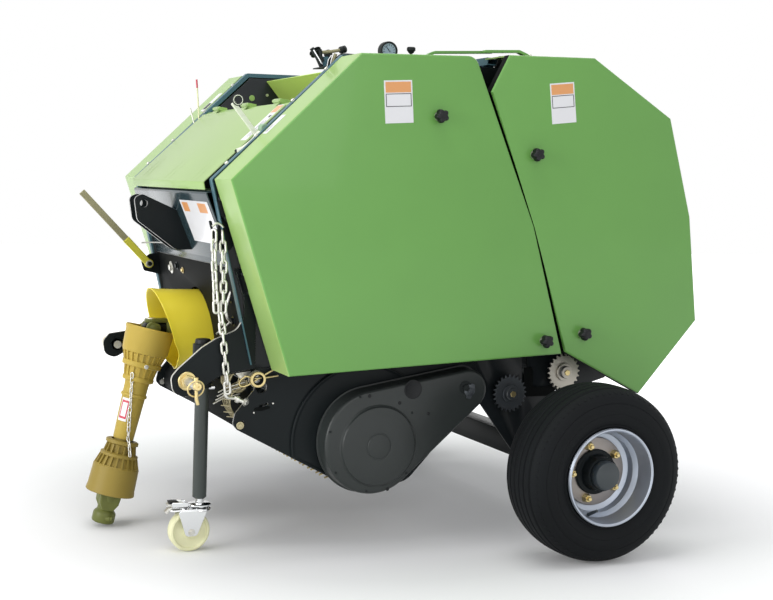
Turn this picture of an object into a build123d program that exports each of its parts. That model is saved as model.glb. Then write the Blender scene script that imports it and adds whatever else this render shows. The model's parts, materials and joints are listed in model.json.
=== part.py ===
from build123d import *
from math import atan2, cos, degrees, hypot, radians, sin
import os

# Small three-point round baler with a fixed roller chamber, in mm.
# Frame: the front of the machine is -Y, its left side is +X, up is +Z and the floor is z = 0.
# Side shapes are drawn as (y, z) tables on planes square to X, moved back by shift_y as one.

os.makedirs("parts", exist_ok=True)

# ---- driving dimensions -------------------------------------------------
shift_y = 127.2          # puts the middle of the whole length on y = 0
chamber_half = 350.0     # inside half width of the bale chamber
wall_t = 6.0             # side walls
sheet_t = 3.0            # covers and folded sheets
plate_t = 10.0           # hitch plates
cover_reach = 150.0      # from the side wall out to the covers' face
tyre_r = 218.0
tyre_w = 165.0
rim_r = 116.0
track_out = 290.0        # from the side wall out to the middle of the wheel
axle_y = 226.0
axle_bar = 60.0          # square axle tube
stub_r = 20.0
pivot_y, pivot_z = -30.0, 1180.0      # tailgate hinge
pivot_r = 15.0
chamber_y, chamber_z = 128.0, 672.0   # middle of the bale
roller_ring = 300.0
roller_r = 48.0
shaft_r = 16.0
sprocket_r = 47.0
pto_y, pto_z = -722.0, 510.0          # first cross of the drive shaft
pto_lean = 13.1                       # how far the hanging shaft leans forward, degrees
socket_r = 17.5                       # drive shaft socket
reel_y, reel_z = -255.0, 260.0
reel_tip = 138.0
drum_r = 85.0
reel_shaft_r = 15.0
pin_y, pin_z = -728.0, 427.0          # lower hitch pins
pin_r = 11.0
top_pin_y, top_pin_z = -754.0, 833.0  # top link hole
top_pin_r = 10.0
bar_y, bar_z, bar_r = -556.0, 427.0, 14.0   # round bar over the pickup
jack_in = 60.0           # from the chamber's side to the jack
jack_y = -668.0
jack_r = 17.0
castor_r = 50.0
castor_trail = 25.0
ram_out = 49.0           # from the side wall out to the tailgate cylinders
ram_a = (-100.0, 640.0)
ram_b = (140.0, 980.0)
ram_eye_r = 20.0
ram_pin_r = 10.0
ram_barrel_r = 25.0
ram_rod_r = 12.5
knuckle = 40.0           # length of a hinge knuckle
hinge_pin_r = 4.0
lid_pin_r = 3.0
lever_pin_r = 6.0
run_clear = 0.05         # pins and shafts in their holes
hinge_gap = 1.0          # beside a knuckle

# ---- worked out from them -------------------------------------------------
wall_out = chamber_half + wall_t
door_axis_x = wall_out + 20
door_in = wall_out + 25               # inner edge of the covers' folded edges
cover_half = wall_out + cover_reach
track_half = wall_out + track_out
ram_x = wall_out + ram_out
jack_x = chamber_half - jack_in
lid_half = chamber_half - 8
axle_z = tyre_r
joint_at = (pto_y, pto_z)
reel_at = (reel_y, reel_z)
pivot_at = (pivot_y, pivot_z)
axle_at = (axle_y, axle_z)


def on_ring(angle):
    """Middle of a chamber roller, by its angle round the bale."""
    return (
        chamber_y + roller_ring * cos(radians(angle)),
        chamber_z + roller_ring * sin(radians(angle)),
    )


low_front = on_ring(-88.5)            # lowest roller of the front half
low_rear = on_ring(-55.7)             # lowest roller of the tailgate


# ---- planes and simple shapes ----------------------------------------------
def side(x):
    """Plane square to X at x, drawn in the machine's own (y, z)."""
    return Plane(origin=(x, shift_y, 0), x_dir=(0, 1, 0), z_dir=(1, 0, 0))


def front(y):
    """Plane square to Y at y, drawn in (x, z); its normal points forward."""
    return Plane(origin=(0, y + shift_y, 0), x_dir=(1, 0, 0), z_dir=(0, -1, 0))


def level(z):
    """Plane square to Z at z, drawn in (x, y)."""
    return Plane(origin=(0, shift_y, z), x_dir=(1, 0, 0), z_dir=(0, 0, 1))


def along(x, start, lean, reach):
    """Plane square to a line in the (y, z) plane that starts at start and leans by lean degrees."""
    dy, dz = cos(radians(lean)), sin(radians(lean))
    return Plane(
        origin=(x, start[0] + reach * dy + shift_y, start[1] + reach * dz),
        x_dir=(1, 0, 0), z_dir=(0, dy, dz),
    )


def plate(x0, x1, outline, mode=Mode.ADD):
    """Flat piece square to X, between x0 and x1, with a (y, z) outline."""
    with BuildSketch(side(min(x0, x1))) as profile:
        Polygon(*outline, align=None)
    extrude(profile.sketch, amount=abs(x1 - x0), mode=mode)


def disc(x0, x1, at, r, mode=Mode.ADD):
    """Round piece along X, between x0 and x1, with its middle at (y, z)."""
    with BuildSketch(side(min(x0, x1))) as profile:
        with Locations(at):
            Circle(r)
    extrude(profile.sketch, amount=abs(x1 - x0), mode=mode)


def box_bar(x0, x1, at, deep, high, mode=Mode.ADD):
    """Rectangular bar along X, deep along Y and high along Z."""
    with BuildSketch(side(min(x0, x1))) as profile:
        with Locations(at):
            Rectangle(deep, high)
    extrude(profile.sketch, amount=abs(x1 - x0), mode=mode)


def tube(plane, length, r_out, r_in=0.0, mode=Mode.ADD):
    """Round tube, or a rod, that starts on a plane and runs along its normal."""
    with BuildSketch(plane) as profile:
        Circle(r_out)
        if r_in:
            Circle(r_in, mode=Mode.SUBTRACT)
    extrude(profile.sketch, amount=length, mode=mode)


# ---- side outlines, columns y, z ---------------------------------------------
front_wall = [
    (-575, 456), (-668, 893), (-352, 1196), (-62, 1204), (0, 1202), (-2, 1166),
    (-40, 1122), (88, 812), (178, 505), (184, 430), (198, 366), (302, 362),
    (302, axle_z - 38), (190, axle_z - 38), (60, 345), (-60, 425), (-520, 425),
]
tail_wall = [
    (-28, 1118), (40, 1170), (60, 1208), (262, 1218), (492, 1088), (566, 842),
    (603, 580), (440, 402), (330, 372), (216, 372), (200, 420), (192, 505), (102, 812),
]
front_cover = [(-677, 900), (-369, 1203), (-70, 1217), (111, 812), (209, 490), (-524, 451)]
front_cover_mouth = [
    (-68, 1300), (-74, 1213), (107, 811), (204, 494), (-518, 455), (-518, 400),
    (300, 400), (300, 1300),
]
rear_cover = [
    (21, 1226), (266, 1236), (506, 1098), (583, 846), (620, 572), (449, 381),
    (215, 496), (116, 812), (-26, 1134),
]
rear_cover_mouth = [
    (20, 1300), (30, 1222), (-19, 1133), (121, 813), (219, 499), (447, 388),
    (452, 300), (-100, 300), (-100, 1300),
]
hitch_plate = [
    (-618, 692), (-609, 670), (-593, 622), (-591, 575), (-606, 548), (-660, 525), (-693, 505),
    (-745, 458), (-761, 440), (-764, 423), (-754, 401), (-738, 393), (-716, 392), (-640, 440),
    (-560, 452), (-562, 612), (-585, 692),
]
# the right plate is slimmer above its pin
hitch_plate_right = [
    (-618, 692), (-609, 670), (-593, 622), (-591, 575), (-606, 548), (-640, 492), (-700, 464),
    (-735, 461), (-752, 455), (-764, 438), (-765, 423), (-754, 401), (-738, 393), (-716, 392),
    (-640, 440), (-560, 452), (-562, 612), (-585, 692),
]
pickup_side = [
    (-612, 318), (-600, 304), (-381, 188), (-300, 150), (-150, 150), (40, 352),
    (40, 452), (-60, 452), (-560, 452), (-574, 446), (-574, 402), (-606, 345),
]
top_link_plate = [
    (-781, 836), (-775, 852), (-756, 858), (-676, 822), (-616, 800), (-616, 718),
    (-668, 716), (-762, 782),
]
top_link_x = (-31, 23)                # inner faces of the two 8 mm plates
top_link_t = 8.0
chain_hook = [
    (-682, 803), (-675, 803), (-671, 782), (-661, 782), (-658, 803), (-645, 805), (-608, 764),
    (-630, 733), (-662, 734), (-670, 760),
]
lever_lug = [(-580, 620), (-580, 690), (-640, 682), (-662, 664), (-655, 640)]
lever_at = (-645.0, 657.0)
lever_tip = (-837.0, 854.0)

# the covers' hinges: the (y, z) ends of the line that each turns on, and its knuckles, each with
# its share of the line and how far outside the wall its arms start
door_lines = {
    "front": ((-524, 451), (-677, 900), ((0.46, plate_t), (0.85, 0))),
    "rear": ((620, 572), (583, 846), ((0.15, 0), (0.85, 0))),
}


def door_hinges(which, set_back, height):
    """Two pairs of arms and a pin on each side for one pair of covers."""
    start, end, places = door_lines[which]
    lean = degrees(atan2(end[1] - start[1], end[0] - start[0]))
    run = hypot(end[0] - start[0], end[1] - start[1])
    arm = 6.0
    for s in (1, -1):
        for place, packing in places:
            reach = place * run
            arm_x = wall_out + packing
            for offset_s in (-knuckle / 2 - hinge_gap - arm, knuckle / 2 + hinge_gap):
                with BuildSketch(along(0, start, lean, reach + offset_s)) as profile:
                    with Locations((s * (arm_x + door_axis_x) / 2, set_back)):
                        Rectangle(door_axis_x - arm_x, height)
                extrude(profile.sketch, amount=arm)
            low = reach - knuckle / 2 - hinge_gap - arm
            tube(along(s * door_axis_x, start, lean, low), knuckle + 2 * (hinge_gap + arm), hinge_pin_r)


def cover_shell(which, outline, mouth):
    """Left cover: a face with folded edges, open where the two covers meet, and its knuckles."""
    plate(door_in, cover_half, outline)
    with BuildSketch(side(door_in)) as hollow:
        Polygon(*outline, align=None)
        offset(amount=-sheet_t, kind=Kind.INTERSECTION, mode=Mode.REPLACE)
    extrude(hollow.sketch, amount=cover_half - door_in - sheet_t, mode=Mode.SUBTRACT)
    mouth_depth = cover_half - door_in - 25
    plate(door_in, door_in + mouth_depth, mouth, Mode.SUBTRACT)
    start, end, places = door_lines[which]
    lean = degrees(atan2(end[1] - start[1], end[0] - start[0]))
    run = hypot(end[0] - start[0], end[1] - start[1])
    for place, _ in places:
        low = along(door_axis_x, start, lean, place * run - knuckle / 2)
        tube(low, knuckle, 7.5)
        tube(low, knuckle, hinge_pin_r + run_clear, mode=Mode.SUBTRACT)


# ---- front half: the fixed frame ---------------------------------------
with BuildPart() as wall_left:
    plate(chamber_half, wall_out, front_wall)
    disc(chamber_half, wall_out, pivot_at, pivot_r, Mode.SUBTRACT)
    box_bar(chamber_half, wall_out, axle_at, axle_bar, axle_bar, Mode.SUBTRACT)
    disc(chamber_half, wall_out, low_front, shaft_r + run_clear, Mode.SUBTRACT)
wall_left.part.label = "wall_left"

with BuildPart() as wall_right:
    mirror(wall_left.part, about=Plane.YZ)
wall_right.part.label = "wall_right"

# cross tubes between the two walls, columns y, z, depth, height
cross_tubes = [
    (-596, 745, 40, 60), (-500, 415, 50, 40), (-330, 495, 40, 40),
    (-120, 1160, 50, 50), (-228, 1060, 36, 40),
]
with BuildPart() as cross_frame:
    for tube_y, tube_z, deep, high in cross_tubes:
        box_bar(-chamber_half, chamber_half, (tube_y, tube_z), deep, high)
cross_frame.part.label = "cross_frame"

front_panel_outline = [
    (-690, 868), (-690, 871), (-655, 871), (-655, 868), (-686, 868), (-617, 706),
    (-617, 692), (-620, 692), (-620, 705),
]
with BuildPart() as front_panel:
    plate(-chamber_half, chamber_half, front_panel_outline)
    for x in top_link_x:
        plate(x, x + top_link_t, top_link_plate, Mode.SUBTRACT)
front_panel.part.label = "front_panel"

# sheet below the panel, let in round the shaft guard and past the lever's lug
lower_sheet_outline = [(-617, 690), (-577, 452), (-574, 452), (-614, 690)]
guard_r = 106.0
lug_t = 8.0
with BuildPart() as lower_sheet:
    plate(-chamber_half + lug_t + 1, chamber_half, lower_sheet_outline)
    with BuildSketch(front(-540)):
        with Locations((0, pto_z)):
            Circle(guard_r + 2)
    extrude(amount=100, mode=Mode.SUBTRACT)
lower_sheet.part.label = "lower_sheet"

# floor and back of the twine box, one folded sheet
with BuildPart() as twine_box:
    plate(
        -chamber_half, chamber_half,
        [
            (-650, 871), (-650, 874), (-293, 874), (-252, 1131), (-302, 1188),
            (-300, 1191), (-248.5, 1132), (-290, 871),
        ],
    )
twine_box.part.label = "twine_box"

with BuildPart() as hitch_plates:
    for s, outline in ((1, hitch_plate), (-1, hitch_plate_right)):
        plate(s * wall_out, s * (wall_out + plate_t), outline)
        disc(s * wall_out, s * (wall_out + plate_t), (pin_y, pin_z), pin_r, Mode.SUBTRACT)
hitch_plates.part.label = "hitch_plates"

pin_end = wall_out + 104
with BuildPart() as hitch_pins:
    for s in (1, -1):
        # pin, outer collar and inner nut: columns x, x end, radius
        for x0, x1, r in [
            (wall_out, pin_end, pin_r), (wall_out + plate_t, wall_out + plate_t + 12, 19),
            (wall_out - 14, wall_out, 17),
        ]:
            disc(s * x0, s * x1, (pin_y, pin_z), r)
hitch_pins.part.label = "hitch_pins"

with BuildPart() as top_link_bracket:
    for x in top_link_x:
        plate(x, x + top_link_t, top_link_plate)
        disc(x, x + top_link_t, (top_pin_y, top_pin_z), top_pin_r, Mode.SUBTRACT)
top_link_bracket.part.label = "top_link_bracket"

gear_front = -560.0      # front face of the gearbox
nose_r = 42.0
with BuildPart() as gearbox:
    with BuildSketch(front(gear_front + 140)):
        with Locations((0, pto_z)):
            Rectangle(150, 150)
    extrude(amount=140)
    # nose and input stub: columns y, length, radius
    for y, length, r in [(gear_front, 12, nose_r), (gear_front - 12, gear_front - 12 - pto_y, 17.5)]:
        with BuildSketch(front(y)):
            with Locations((0, pto_z)):
                Circle(r)
        extrude(amount=length)
    # inner yoke and the cross pin of the first joint
    disc(-14, 14, joint_at, 20)
    disc(-34, 34, joint_at, 8)
gearbox.part.label = "gearbox"

guard_long = 176.0
with BuildPart() as pto_guard:
    with BuildSketch(front(gear_front)):
        with Locations((0, pto_z)):
            Circle(guard_r)
    extrude(amount=guard_long)
    with BuildSketch(front(gear_front - sheet_t)):
        with Locations((0, pto_z)):
            Circle(guard_r - sheet_t)
    extrude(amount=guard_long, mode=Mode.SUBTRACT)
    with BuildSketch(front(gear_front + 5)):
        with Locations((0, pto_z)):
            Circle(nose_r + 0.3)
    extrude(amount=20, mode=Mode.SUBTRACT)
    # slanting mouth: longer over the joint than under it
    plate(-150, 150, [(-734, 640), (-656, 390), (-800, 390), (-800, 640)], Mode.SUBTRACT)
pto_guard.part.label = "pto_guard"

with BuildPart() as axle_beam:
    box_bar(-wall_out - 164, wall_out + 164, axle_at, axle_bar, axle_bar)
    disc(-track_half - 55, track_half + 55, axle_at, stub_r)
axle_beam.part.label = "axle_beam"

# rollers that stay on the front half, by angle round the chamber
with BuildPart() as rollers_front:
    for angle in (176, 146, 116):
        for half, r in [(chamber_half - 6, roller_r), (chamber_half, shaft_r)]:
            disc(-half, half, on_ring(angle), r)
rollers_front.part.label = "rollers_front"

# drum, shaft and sprocket: columns x, x end, radius
sprocket_x = wall_out + 16
with BuildPart() as floor_roller:
    for x0, x1, r in [
        (-chamber_half + 6, chamber_half - 6, roller_r), (-wall_out - 4, wall_out + 36, shaft_r),
        (sprocket_x, sprocket_x + 8, sprocket_r),
    ]:
        disc(x0, x1, low_front, r)
floor_roller.part.label = "floor_roller"

with BuildPart() as pickup_frame:
    for s in (1, -1):
        plate(s * wall_out, s * (wall_out + 6), pickup_side)
        disc(s * wall_out, s * (wall_out + 6), reel_at, reel_shaft_r + run_clear, Mode.SUBTRACT)
        disc(s * wall_out, s * (wall_out + 6), (bar_y, bar_z), bar_r, Mode.SUBTRACT)
pickup_frame.part.label = "pickup_frame"

with BuildPart() as pickup_sheet:
    plate(
        -wall_out, wall_out,
        [
            (-584, 300), (-590, 318), (-584, 344), (-555, 384), (-552, 382), (-580, 343),
            (-586, 318),
        ],
    )
pickup_sheet.part.label = "pickup_sheet"

# in two halves, one each side of the gearbox and its guard
with BuildPart() as crop_bar:
    for s in (1, -1):
        disc(s * (guard_r + 10), s * (wall_out + 24), (bar_y, bar_z), bar_r)
crop_bar.part.label = "crop_bar"

# teardrop case: the (y, z) middle and radius of its two ends
guard_big = (-265.0, 269.0, 131.0)
guard_small = (-8.0, 391.0, 54.0)
guard_in = wall_out + 14
guard_deep = 50.0


def teardrop(x, inset, amount, mode=Mode.ADD):
    """The chain case's outline between two ends, drawn in by inset."""
    ends = [
        Edge.make_circle(r - inset, Plane(origin=(y, z, 0))) for y, z, r in (guard_big, guard_small)
    ]
    with BuildSketch(side(x)) as profile:
        make_hull(ends)
    extrude(profile.sketch, amount=amount, mode=mode)


with BuildPart() as chain_guard:
    teardrop(guard_in, 0, guard_deep)
    teardrop(guard_in - 2, sheet_t, guard_deep - sheet_t + 2, Mode.SUBTRACT)
    disc(guard_in + guard_deep, guard_in + guard_deep + 8, reel_at, 100)
chain_guard.part.label = "chain_guard"

# round shields, cut off in line with the plates' lower edges
shield_at, shield_r = (-274.0, 268.0), 190.0
shield_cut = [(-600, 304), (-381, 188), (-300, 145), (-240, 134), (40, 352), (400, 352), (400, 0), (-600, 0)]
with BuildPart() as pickup_discs:
    for s in (1, -1):
        disc(s * (wall_out + 6), s * (wall_out + 14), shield_at, shield_r)
        plate(s * (wall_out + 6), s * (wall_out + 14), shield_cut, Mode.SUBTRACT)
        disc(s * (wall_out + 6), s * (wall_out + 14), reel_at, reel_shaft_r + 5, Mode.SUBTRACT)
pickup_discs.part.label = "pickup_discs"

sleeve_low, sleeve_high = 400.0, 105.0
with BuildPart() as jack_sleeve:
    with BuildSketch(level(sleeve_low)):
        with Locations((jack_x, jack_y)):
            Circle(jack_r + 7)
    extrude(amount=sleeve_high)
    with BuildSketch(level(sleeve_low + 32)):
        with Locations(((jack_x + wall_out) / 2, jack_y)):
            Rectangle(wall_out - jack_x, 30)
    extrude(amount=60)
    with BuildSketch(level(sleeve_low)):
        with Locations((jack_x, jack_y)):
            Circle(jack_r + run_clear)
    extrude(amount=sleeve_high, mode=Mode.SUBTRACT)
jack_sleeve.part.label = "jack_sleeve"

# the lever's lug inside the right wall, and the lift chain's hook on the left one
with BuildPart() as wall_lugs:
    plate(-chamber_half, -chamber_half + lug_t, lever_lug)
    disc(-chamber_half + lug_t, -chamber_half + lug_t + 26, lever_at, lever_pin_r)
    plate(wall_out, wall_out + 6, chain_hook)
wall_lugs.part.label = "wall_lugs"

with BuildPart() as hinge_pins:
    for s in (1, -1):
        disc(s * chamber_half, s * (wall_out + 16), pivot_at, pivot_r)
        disc(s * wall_out, s * (ram_x - 17), ram_a, 16)
        disc(s * (ram_x - 17), s * (ram_x + 20), ram_a, ram_pin_r)
hinge_pins.part.label = "hinge_pins"

with BuildPart() as door_hinges_front:
    door_hinges("front", 13, 34)
door_hinges_front.part.label = "door_hinges_front"

# ---- front covers and the lid -------------------------------------------
with BuildPart() as front_cover_left:
    cover_shell("front", front_cover, front_cover_mouth)
front_cover_left.part.label = "front_cover_left"

with BuildPart() as front_cover_right:
    mirror(front_cover_left.part, about=Plane.YZ)
front_cover_right.part.label = "front_cover_right"

lid_at = (-481.0, 1097.0)
with BuildPart() as twine_lid:
    plate(
        -lid_half, lid_half,
        [(-686, 875), (-689, 875), (-693, 893), (-487, 1089), (-485, 1087), (-689, 893)],
    )
    for x in (-250, 0, 250):
        disc(x - 20, x + 20, lid_at, lid_pin_r + 4)
        plate(x - 20, x + 20, [(-489, 1087), (-485, 1087), (-478, 1092), (-484, 1098)])
        disc(x - 20, x + 20, lid_at, lid_pin_r + run_clear, Mode.SUBTRACT)
twine_lid.part.label = "twine_lid"

# bar across the walls that carries the lid's three pins
with BuildPart() as lid_hinge:
    plate(-chamber_half, chamber_half, [(-476, 1088), (-476, 1091), (-436, 1098.6), (-436, 1095.6)])
    for x in (-250, 0, 250):
        disc(x - 28, x + 28, lid_at, lid_pin_r)
        for dx in (-29, 21):
            plate(
                x + dx, x + dx + 8,
                [(-486, 1097), (-481, 1103), (-460, 1101), (-460, 1094), (-476, 1091)],
            )
lid_hinge.part.label = "lid_hinge"

# ---- tailgate ------------------------------------------------------------
tail_arm = [(-36, 1154.7), (-36, 1205.3), (150, 1208), (150, 1110), (70, 1110)]
arm_packer = [(70, 1110), (70, 1206), (150, 1208), (150, 1110)]
with BuildPart() as tail_wall_left:
    plate(chamber_half, wall_out, tail_wall)
    disc(chamber_half, wall_out, low_rear, shaft_r + run_clear, Mode.SUBTRACT)
    # hinge arm outside the front wall, on a packer
    plate(wall_out, wall_out + 6, arm_packer)
    plate(wall_out + 6, wall_out + 12, tail_arm)
    disc(wall_out + 6, wall_out + 12, pivot_at, pivot_r + 11)
    disc(wall_out + 6, wall_out + 12, pivot_at, pivot_r + run_clear, Mode.SUBTRACT)
    # boss for the cylinder's rod pin, stopping short of the rod's eye
    disc(wall_out, ram_x - 20, ram_b, 16)
tail_wall_left.part.label = "tail_wall_left"

with BuildPart() as tail_wall_right:
    mirror(tail_wall_left.part, about=Plane.YZ)
tail_wall_right.part.label = "tail_wall_right"

# columns y, z, depth, height
tail_tubes = [(120, 1175, 50, 50), (520, 960, 40, 40), (555, 650, 40, 40), (400, 430, 40, 40)]
with BuildPart() as tail_frame:
    for tube_y, tube_z, deep, high in tail_tubes:
        box_bar(-chamber_half, chamber_half, (tube_y, tube_z), deep, high)
tail_frame.part.label = "tail_frame"

with BuildPart() as rollers_rear:
    for angle in (-24, 6, 36, 66):
        for half, r in [(chamber_half - 6, roller_r), (chamber_half, shaft_r)]:
            disc(-half, half, on_ring(angle), r)
rollers_rear.part.label = "rollers_rear"

with BuildPart() as tail_roller:
    for x0, x1, r in [
        (-chamber_half + 6, chamber_half - 6, roller_r), (-wall_out - 4, wall_out + 36, shaft_r),
        (sprocket_x, sprocket_x + 8, sprocket_r - 3),
    ]:
        disc(x0, x1, low_rear, r)
tail_roller.part.label = "tail_roller"

with BuildPart() as door_hinges_rear:
    door_hinges("rear", -22, 52)
door_hinges_rear.part.label = "door_hinges_rear"

with BuildPart() as rear_cover_left:
    cover_shell("rear", rear_cover, rear_cover_mouth)
rear_cover_left.part.label = "rear_cover_left"

with BuildPart() as rear_cover_right:
    mirror(rear_cover_left.part, about=Plane.YZ)
rear_cover_right.part.label = "rear_cover_right"

# ---- tailgate cylinders --------------------------------------------------
ram_len = hypot(ram_b[0] - ram_a[0], ram_b[1] - ram_a[1])
ram_lean = degrees(atan2(ram_b[1] - ram_a[1], ram_b[0] - ram_a[0]))
barrel_end = ram_len - ram_barrel_r - 51
ram_bore_start = 36.0
with BuildPart() as ram_barrel_left:
    disc(ram_x - 13, ram_x + 13, ram_a, ram_eye_r)
    tube(along(ram_x, ram_a, ram_lean, 16), barrel_end - 16, ram_barrel_r)
    bore = along(ram_x, ram_a, ram_lean, ram_bore_start)
    tube(bore, barrel_end - ram_bore_start, ram_rod_r + run_clear, mode=Mode.SUBTRACT)
    disc(ram_x - 30, ram_x + 30, ram_a, ram_pin_r + run_clear, Mode.SUBTRACT)
ram_barrel_left.part.label = "ram_barrel_left"

with BuildPart() as ram_barrel_right:
    mirror(ram_barrel_left.part, about=Plane.YZ)
ram_barrel_right.part.label = "ram_barrel_right"

with BuildPart() as ram_rod_left:
    rod_start = ram_bore_start + 6
    tube(along(ram_x, ram_a, ram_lean, rod_start), ram_len - rod_start, ram_rod_r)
    disc(ram_x - 13, ram_x + 13, ram_b, ram_eye_r)
    disc(ram_x - 30, ram_x + 30, ram_b, ram_pin_r + run_clear, Mode.SUBTRACT)
ram_rod_left.part.label = "ram_rod_left"

with BuildPart() as ram_rod_right:
    mirror(ram_rod_left.part, about=Plane.YZ)
ram_rod_right.part.label = "ram_rod_right"

# ---- pickup reel -----------------------------------------------------------
with BuildPart() as pickup_reel:
    disc(-wall_out - 4, wall_out + 4, reel_at, reel_shaft_r)
    disc(-chamber_half + 20, chamber_half - 20, reel_at, drum_r)
pickup_reel.part.label = "pickup_reel"

# four bars of tines on the drum
tine_count = 11
tine_pitch = 60.0
with BuildPart() as tine_bars:
    for angle in (45, 135, 225, 315):
        with BuildSketch(along(0, reel_at, angle, drum_r)):
            Rectangle(2 * chamber_half - 46, 14)
        extrude(amount=10)
        for step in range(tine_count):
            x = tine_pitch * (step - (tine_count - 1) / 2)
            tube(along(x, reel_at, angle, drum_r + 5), reel_tip - drum_r - 5, 3)
tine_bars.part.label = "tine_bars"

# ---- wheels ----------------------------------------------------------------
with BuildPart() as tyre_left:
    with BuildSketch(Plane(origin=(0, axle_y + shift_y, axle_z), x_dir=(1, 0, 0), z_dir=(0, -1, 0))):
        with Locations((track_half, (tyre_r + rim_r) / 2)):
            RectangleRounded(tyre_w, tyre_r - rim_r, (tyre_r - rim_r) / 3)
    revolve(axis=Axis((0, axle_y + shift_y, axle_z), (1, 0, 0)))
tyre_left.part.label = "tyre_left"

with BuildPart() as tyre_right:
    mirror(tyre_left.part, about=Plane.YZ)
tyre_right.part.label = "tyre_right"

# rim and hub: columns x from the middle of the wheel, x end, outer radius, inner radius
rim_rings = [
    (-66, 84, rim_r, rim_r - 5), (-2, 6, rim_r - 2, stub_r + run_clear),
    (-36, 66, 2 * stub_r, stub_r + run_clear),
]
with BuildPart() as rim_left:
    for x0, x1, r1, r0 in rim_rings:
        with BuildSketch(side(track_half + x0)):
            with Locations(axle_at):
                Circle(r1)
                Circle(r0, mode=Mode.SUBTRACT)
        extrude(amount=x1 - x0)
rim_left.part.label = "rim_left"

with BuildPart() as rim_right:
    mirror(rim_left.part, about=Plane.YZ)
rim_right.part.label = "rim_right"

# ---- parking jack and castor -------------------------------------------------
fork_z = 2 * castor_r + 2             # underside of the castor's plate
fork_t = 4.0
jack_low = fork_z + fork_t + 3        # room for the castor's bearing
king_r = 8.0
castor_at = (jack_y - castor_trail, castor_r)
with BuildPart() as jack_leg:
    # leg, foot and the king pin's hole: columns z, height, radius, mode
    for z, high, r, mode in [
        (jack_low + 3, 408, jack_r, Mode.ADD), (jack_low, 5, 28, Mode.ADD),
        (jack_low, 36, king_r + run_clear, Mode.SUBTRACT),
    ]:
        with BuildSketch(level(z)):
            with Locations((jack_x, jack_y)):
                Circle(r)
        extrude(amount=high, mode=mode)
jack_leg.part.label = "jack_leg"

with BuildPart() as castor_fork:
    with BuildSketch(level(fork_z)):
        with Locations((jack_x, jack_y)):
            Circle(28)
        with Locations((jack_x, jack_y - castor_trail - 10)):
            Rectangle(52, 84)
    extrude(amount=fork_t)
    # king pin and bearing: columns z, height, radius
    for z, high, r in [(fork_z, 40, king_r), (fork_z + fork_t, 2.5, 14)]:
        with BuildSketch(level(z)):
            with Locations((jack_x, jack_y)):
                Circle(r)
        extrude(amount=high)
    for x in (jack_x - 26, jack_x + 22):
        disc(x, x + fork_t, castor_at, 13)
        plate(
            x, x + fork_t,
            [
                (castor_at[0] - 13, castor_r), (castor_at[0] + 13, castor_r),
                (jack_y + 12, fork_z), (castor_at[0] - 30, fork_z),
            ],
        )
    disc(jack_x - 30, jack_x + 30, castor_at, 5)
castor_fork.part.label = "castor_fork"

with BuildPart() as castor_wheel:
    disc(jack_x - 17, jack_x + 17, castor_at, castor_r)
    disc(jack_x - 17, jack_x + 17, castor_at, 5 + run_clear, Mode.SUBTRACT)
castor_wheel.part.label = "castor_wheel"

# ---- lever -------------------------------------------------------------------
lever_x = -chamber_half + lug_t + 7
with BuildPart() as lever:
    lever_run = hypot(lever_tip[0] - lever_at[0], lever_tip[1] - lever_at[1])
    lever_lean = degrees(atan2(lever_tip[1] - lever_at[1], lever_tip[0] - lever_at[0]))
    with BuildSketch(along(lever_x + 4, lever_at, lever_lean, 0)):
        Rectangle(8, 18)
    extrude(amount=lever_run)
    disc(lever_x, lever_x + 8, lever_at, lever_pin_r + 6)
    disc(lever_x - 5, lever_x + 15, lever_at, lever_pin_r + run_clear, Mode.SUBTRACT)
lever.part.label = "lever"

# ---- drive shaft, hanging from the first joint to the floor -------------------
hang = -90.0 - pto_lean
cross_r = 8.0
bell_t = 3.0
socket_reach, socket_long = 465.0, 50.0


def bell(rings):
    """Guard rings round the shaft: columns reach, length, outer radius, inner radius."""
    for reach, length, r1, r0 in rings:
        tube(along(0, joint_at, hang, reach), length, r1, r0)


with BuildPart() as shaft_upper:
    for s in (1, -1):
        disc(s * 20, s * 32, joint_at, 18)
        with BuildSketch(along(s * 26, joint_at, hang, 0)):
            Rectangle(12, 36)
        extrude(amount=40)
    tube(along(0, joint_at, hang, 30), 12, 36)
    disc(-60, 60, joint_at, cross_r + run_clear, Mode.SUBTRACT)
    bell([(8, 62, 60, 57), (70, bell_t, 60, 44), (70, 26, 47, 44), (95, bell_t, 47, 24), (40, 215, 27, 24)])
shaft_upper.part.label = "shaft_upper"

with BuildPart() as shaft_lower:
    tube(along(0, joint_at, hang, 130), 300, 23)
    bell([(330, bell_t, 47, 20), (330, 26, 47, 44), (355, bell_t, 60, 44), (355, 80, 60, 57)])
    tube(along(0, joint_at, hang, socket_reach - 38), 38 + socket_long, 27)
    tube(along(0, joint_at, hang, socket_reach), socket_long, socket_r, mode=Mode.SUBTRACT)
shaft_lower.part.label = "shaft_lower"

for built in [
    wall_left, wall_right, cross_frame, front_panel, lower_sheet, twine_box, hitch_plates,
    hitch_pins, top_link_bracket, gearbox, pto_guard, axle_beam, rollers_front, floor_roller,
    pickup_frame, pickup_sheet, crop_bar, chain_guard, pickup_discs, jack_sleeve, wall_lugs,
    hinge_pins, door_hinges_front, front_cover_left, front_cover_right, twine_lid, lid_hinge,
    tail_wall_left, tail_wall_right, tail_frame, rollers_rear, tail_roller, door_hinges_rear,
    rear_cover_left, rear_cover_right, ram_barrel_left, ram_barrel_right, ram_rod_left,
    ram_rod_right, pickup_reel, tine_bars, tyre_left, tyre_right, rim_left, rim_right, jack_leg,
    castor_fork, castor_wheel, lever, shaft_upper, shaft_lower,
]:
    export_step(built.part, "parts/" + built.part.label + ".step")
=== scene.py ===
import json
import math
from math import cos, pi, radians, sin

import bmesh
import bpy
from mathutils import Matrix, Vector


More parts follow.
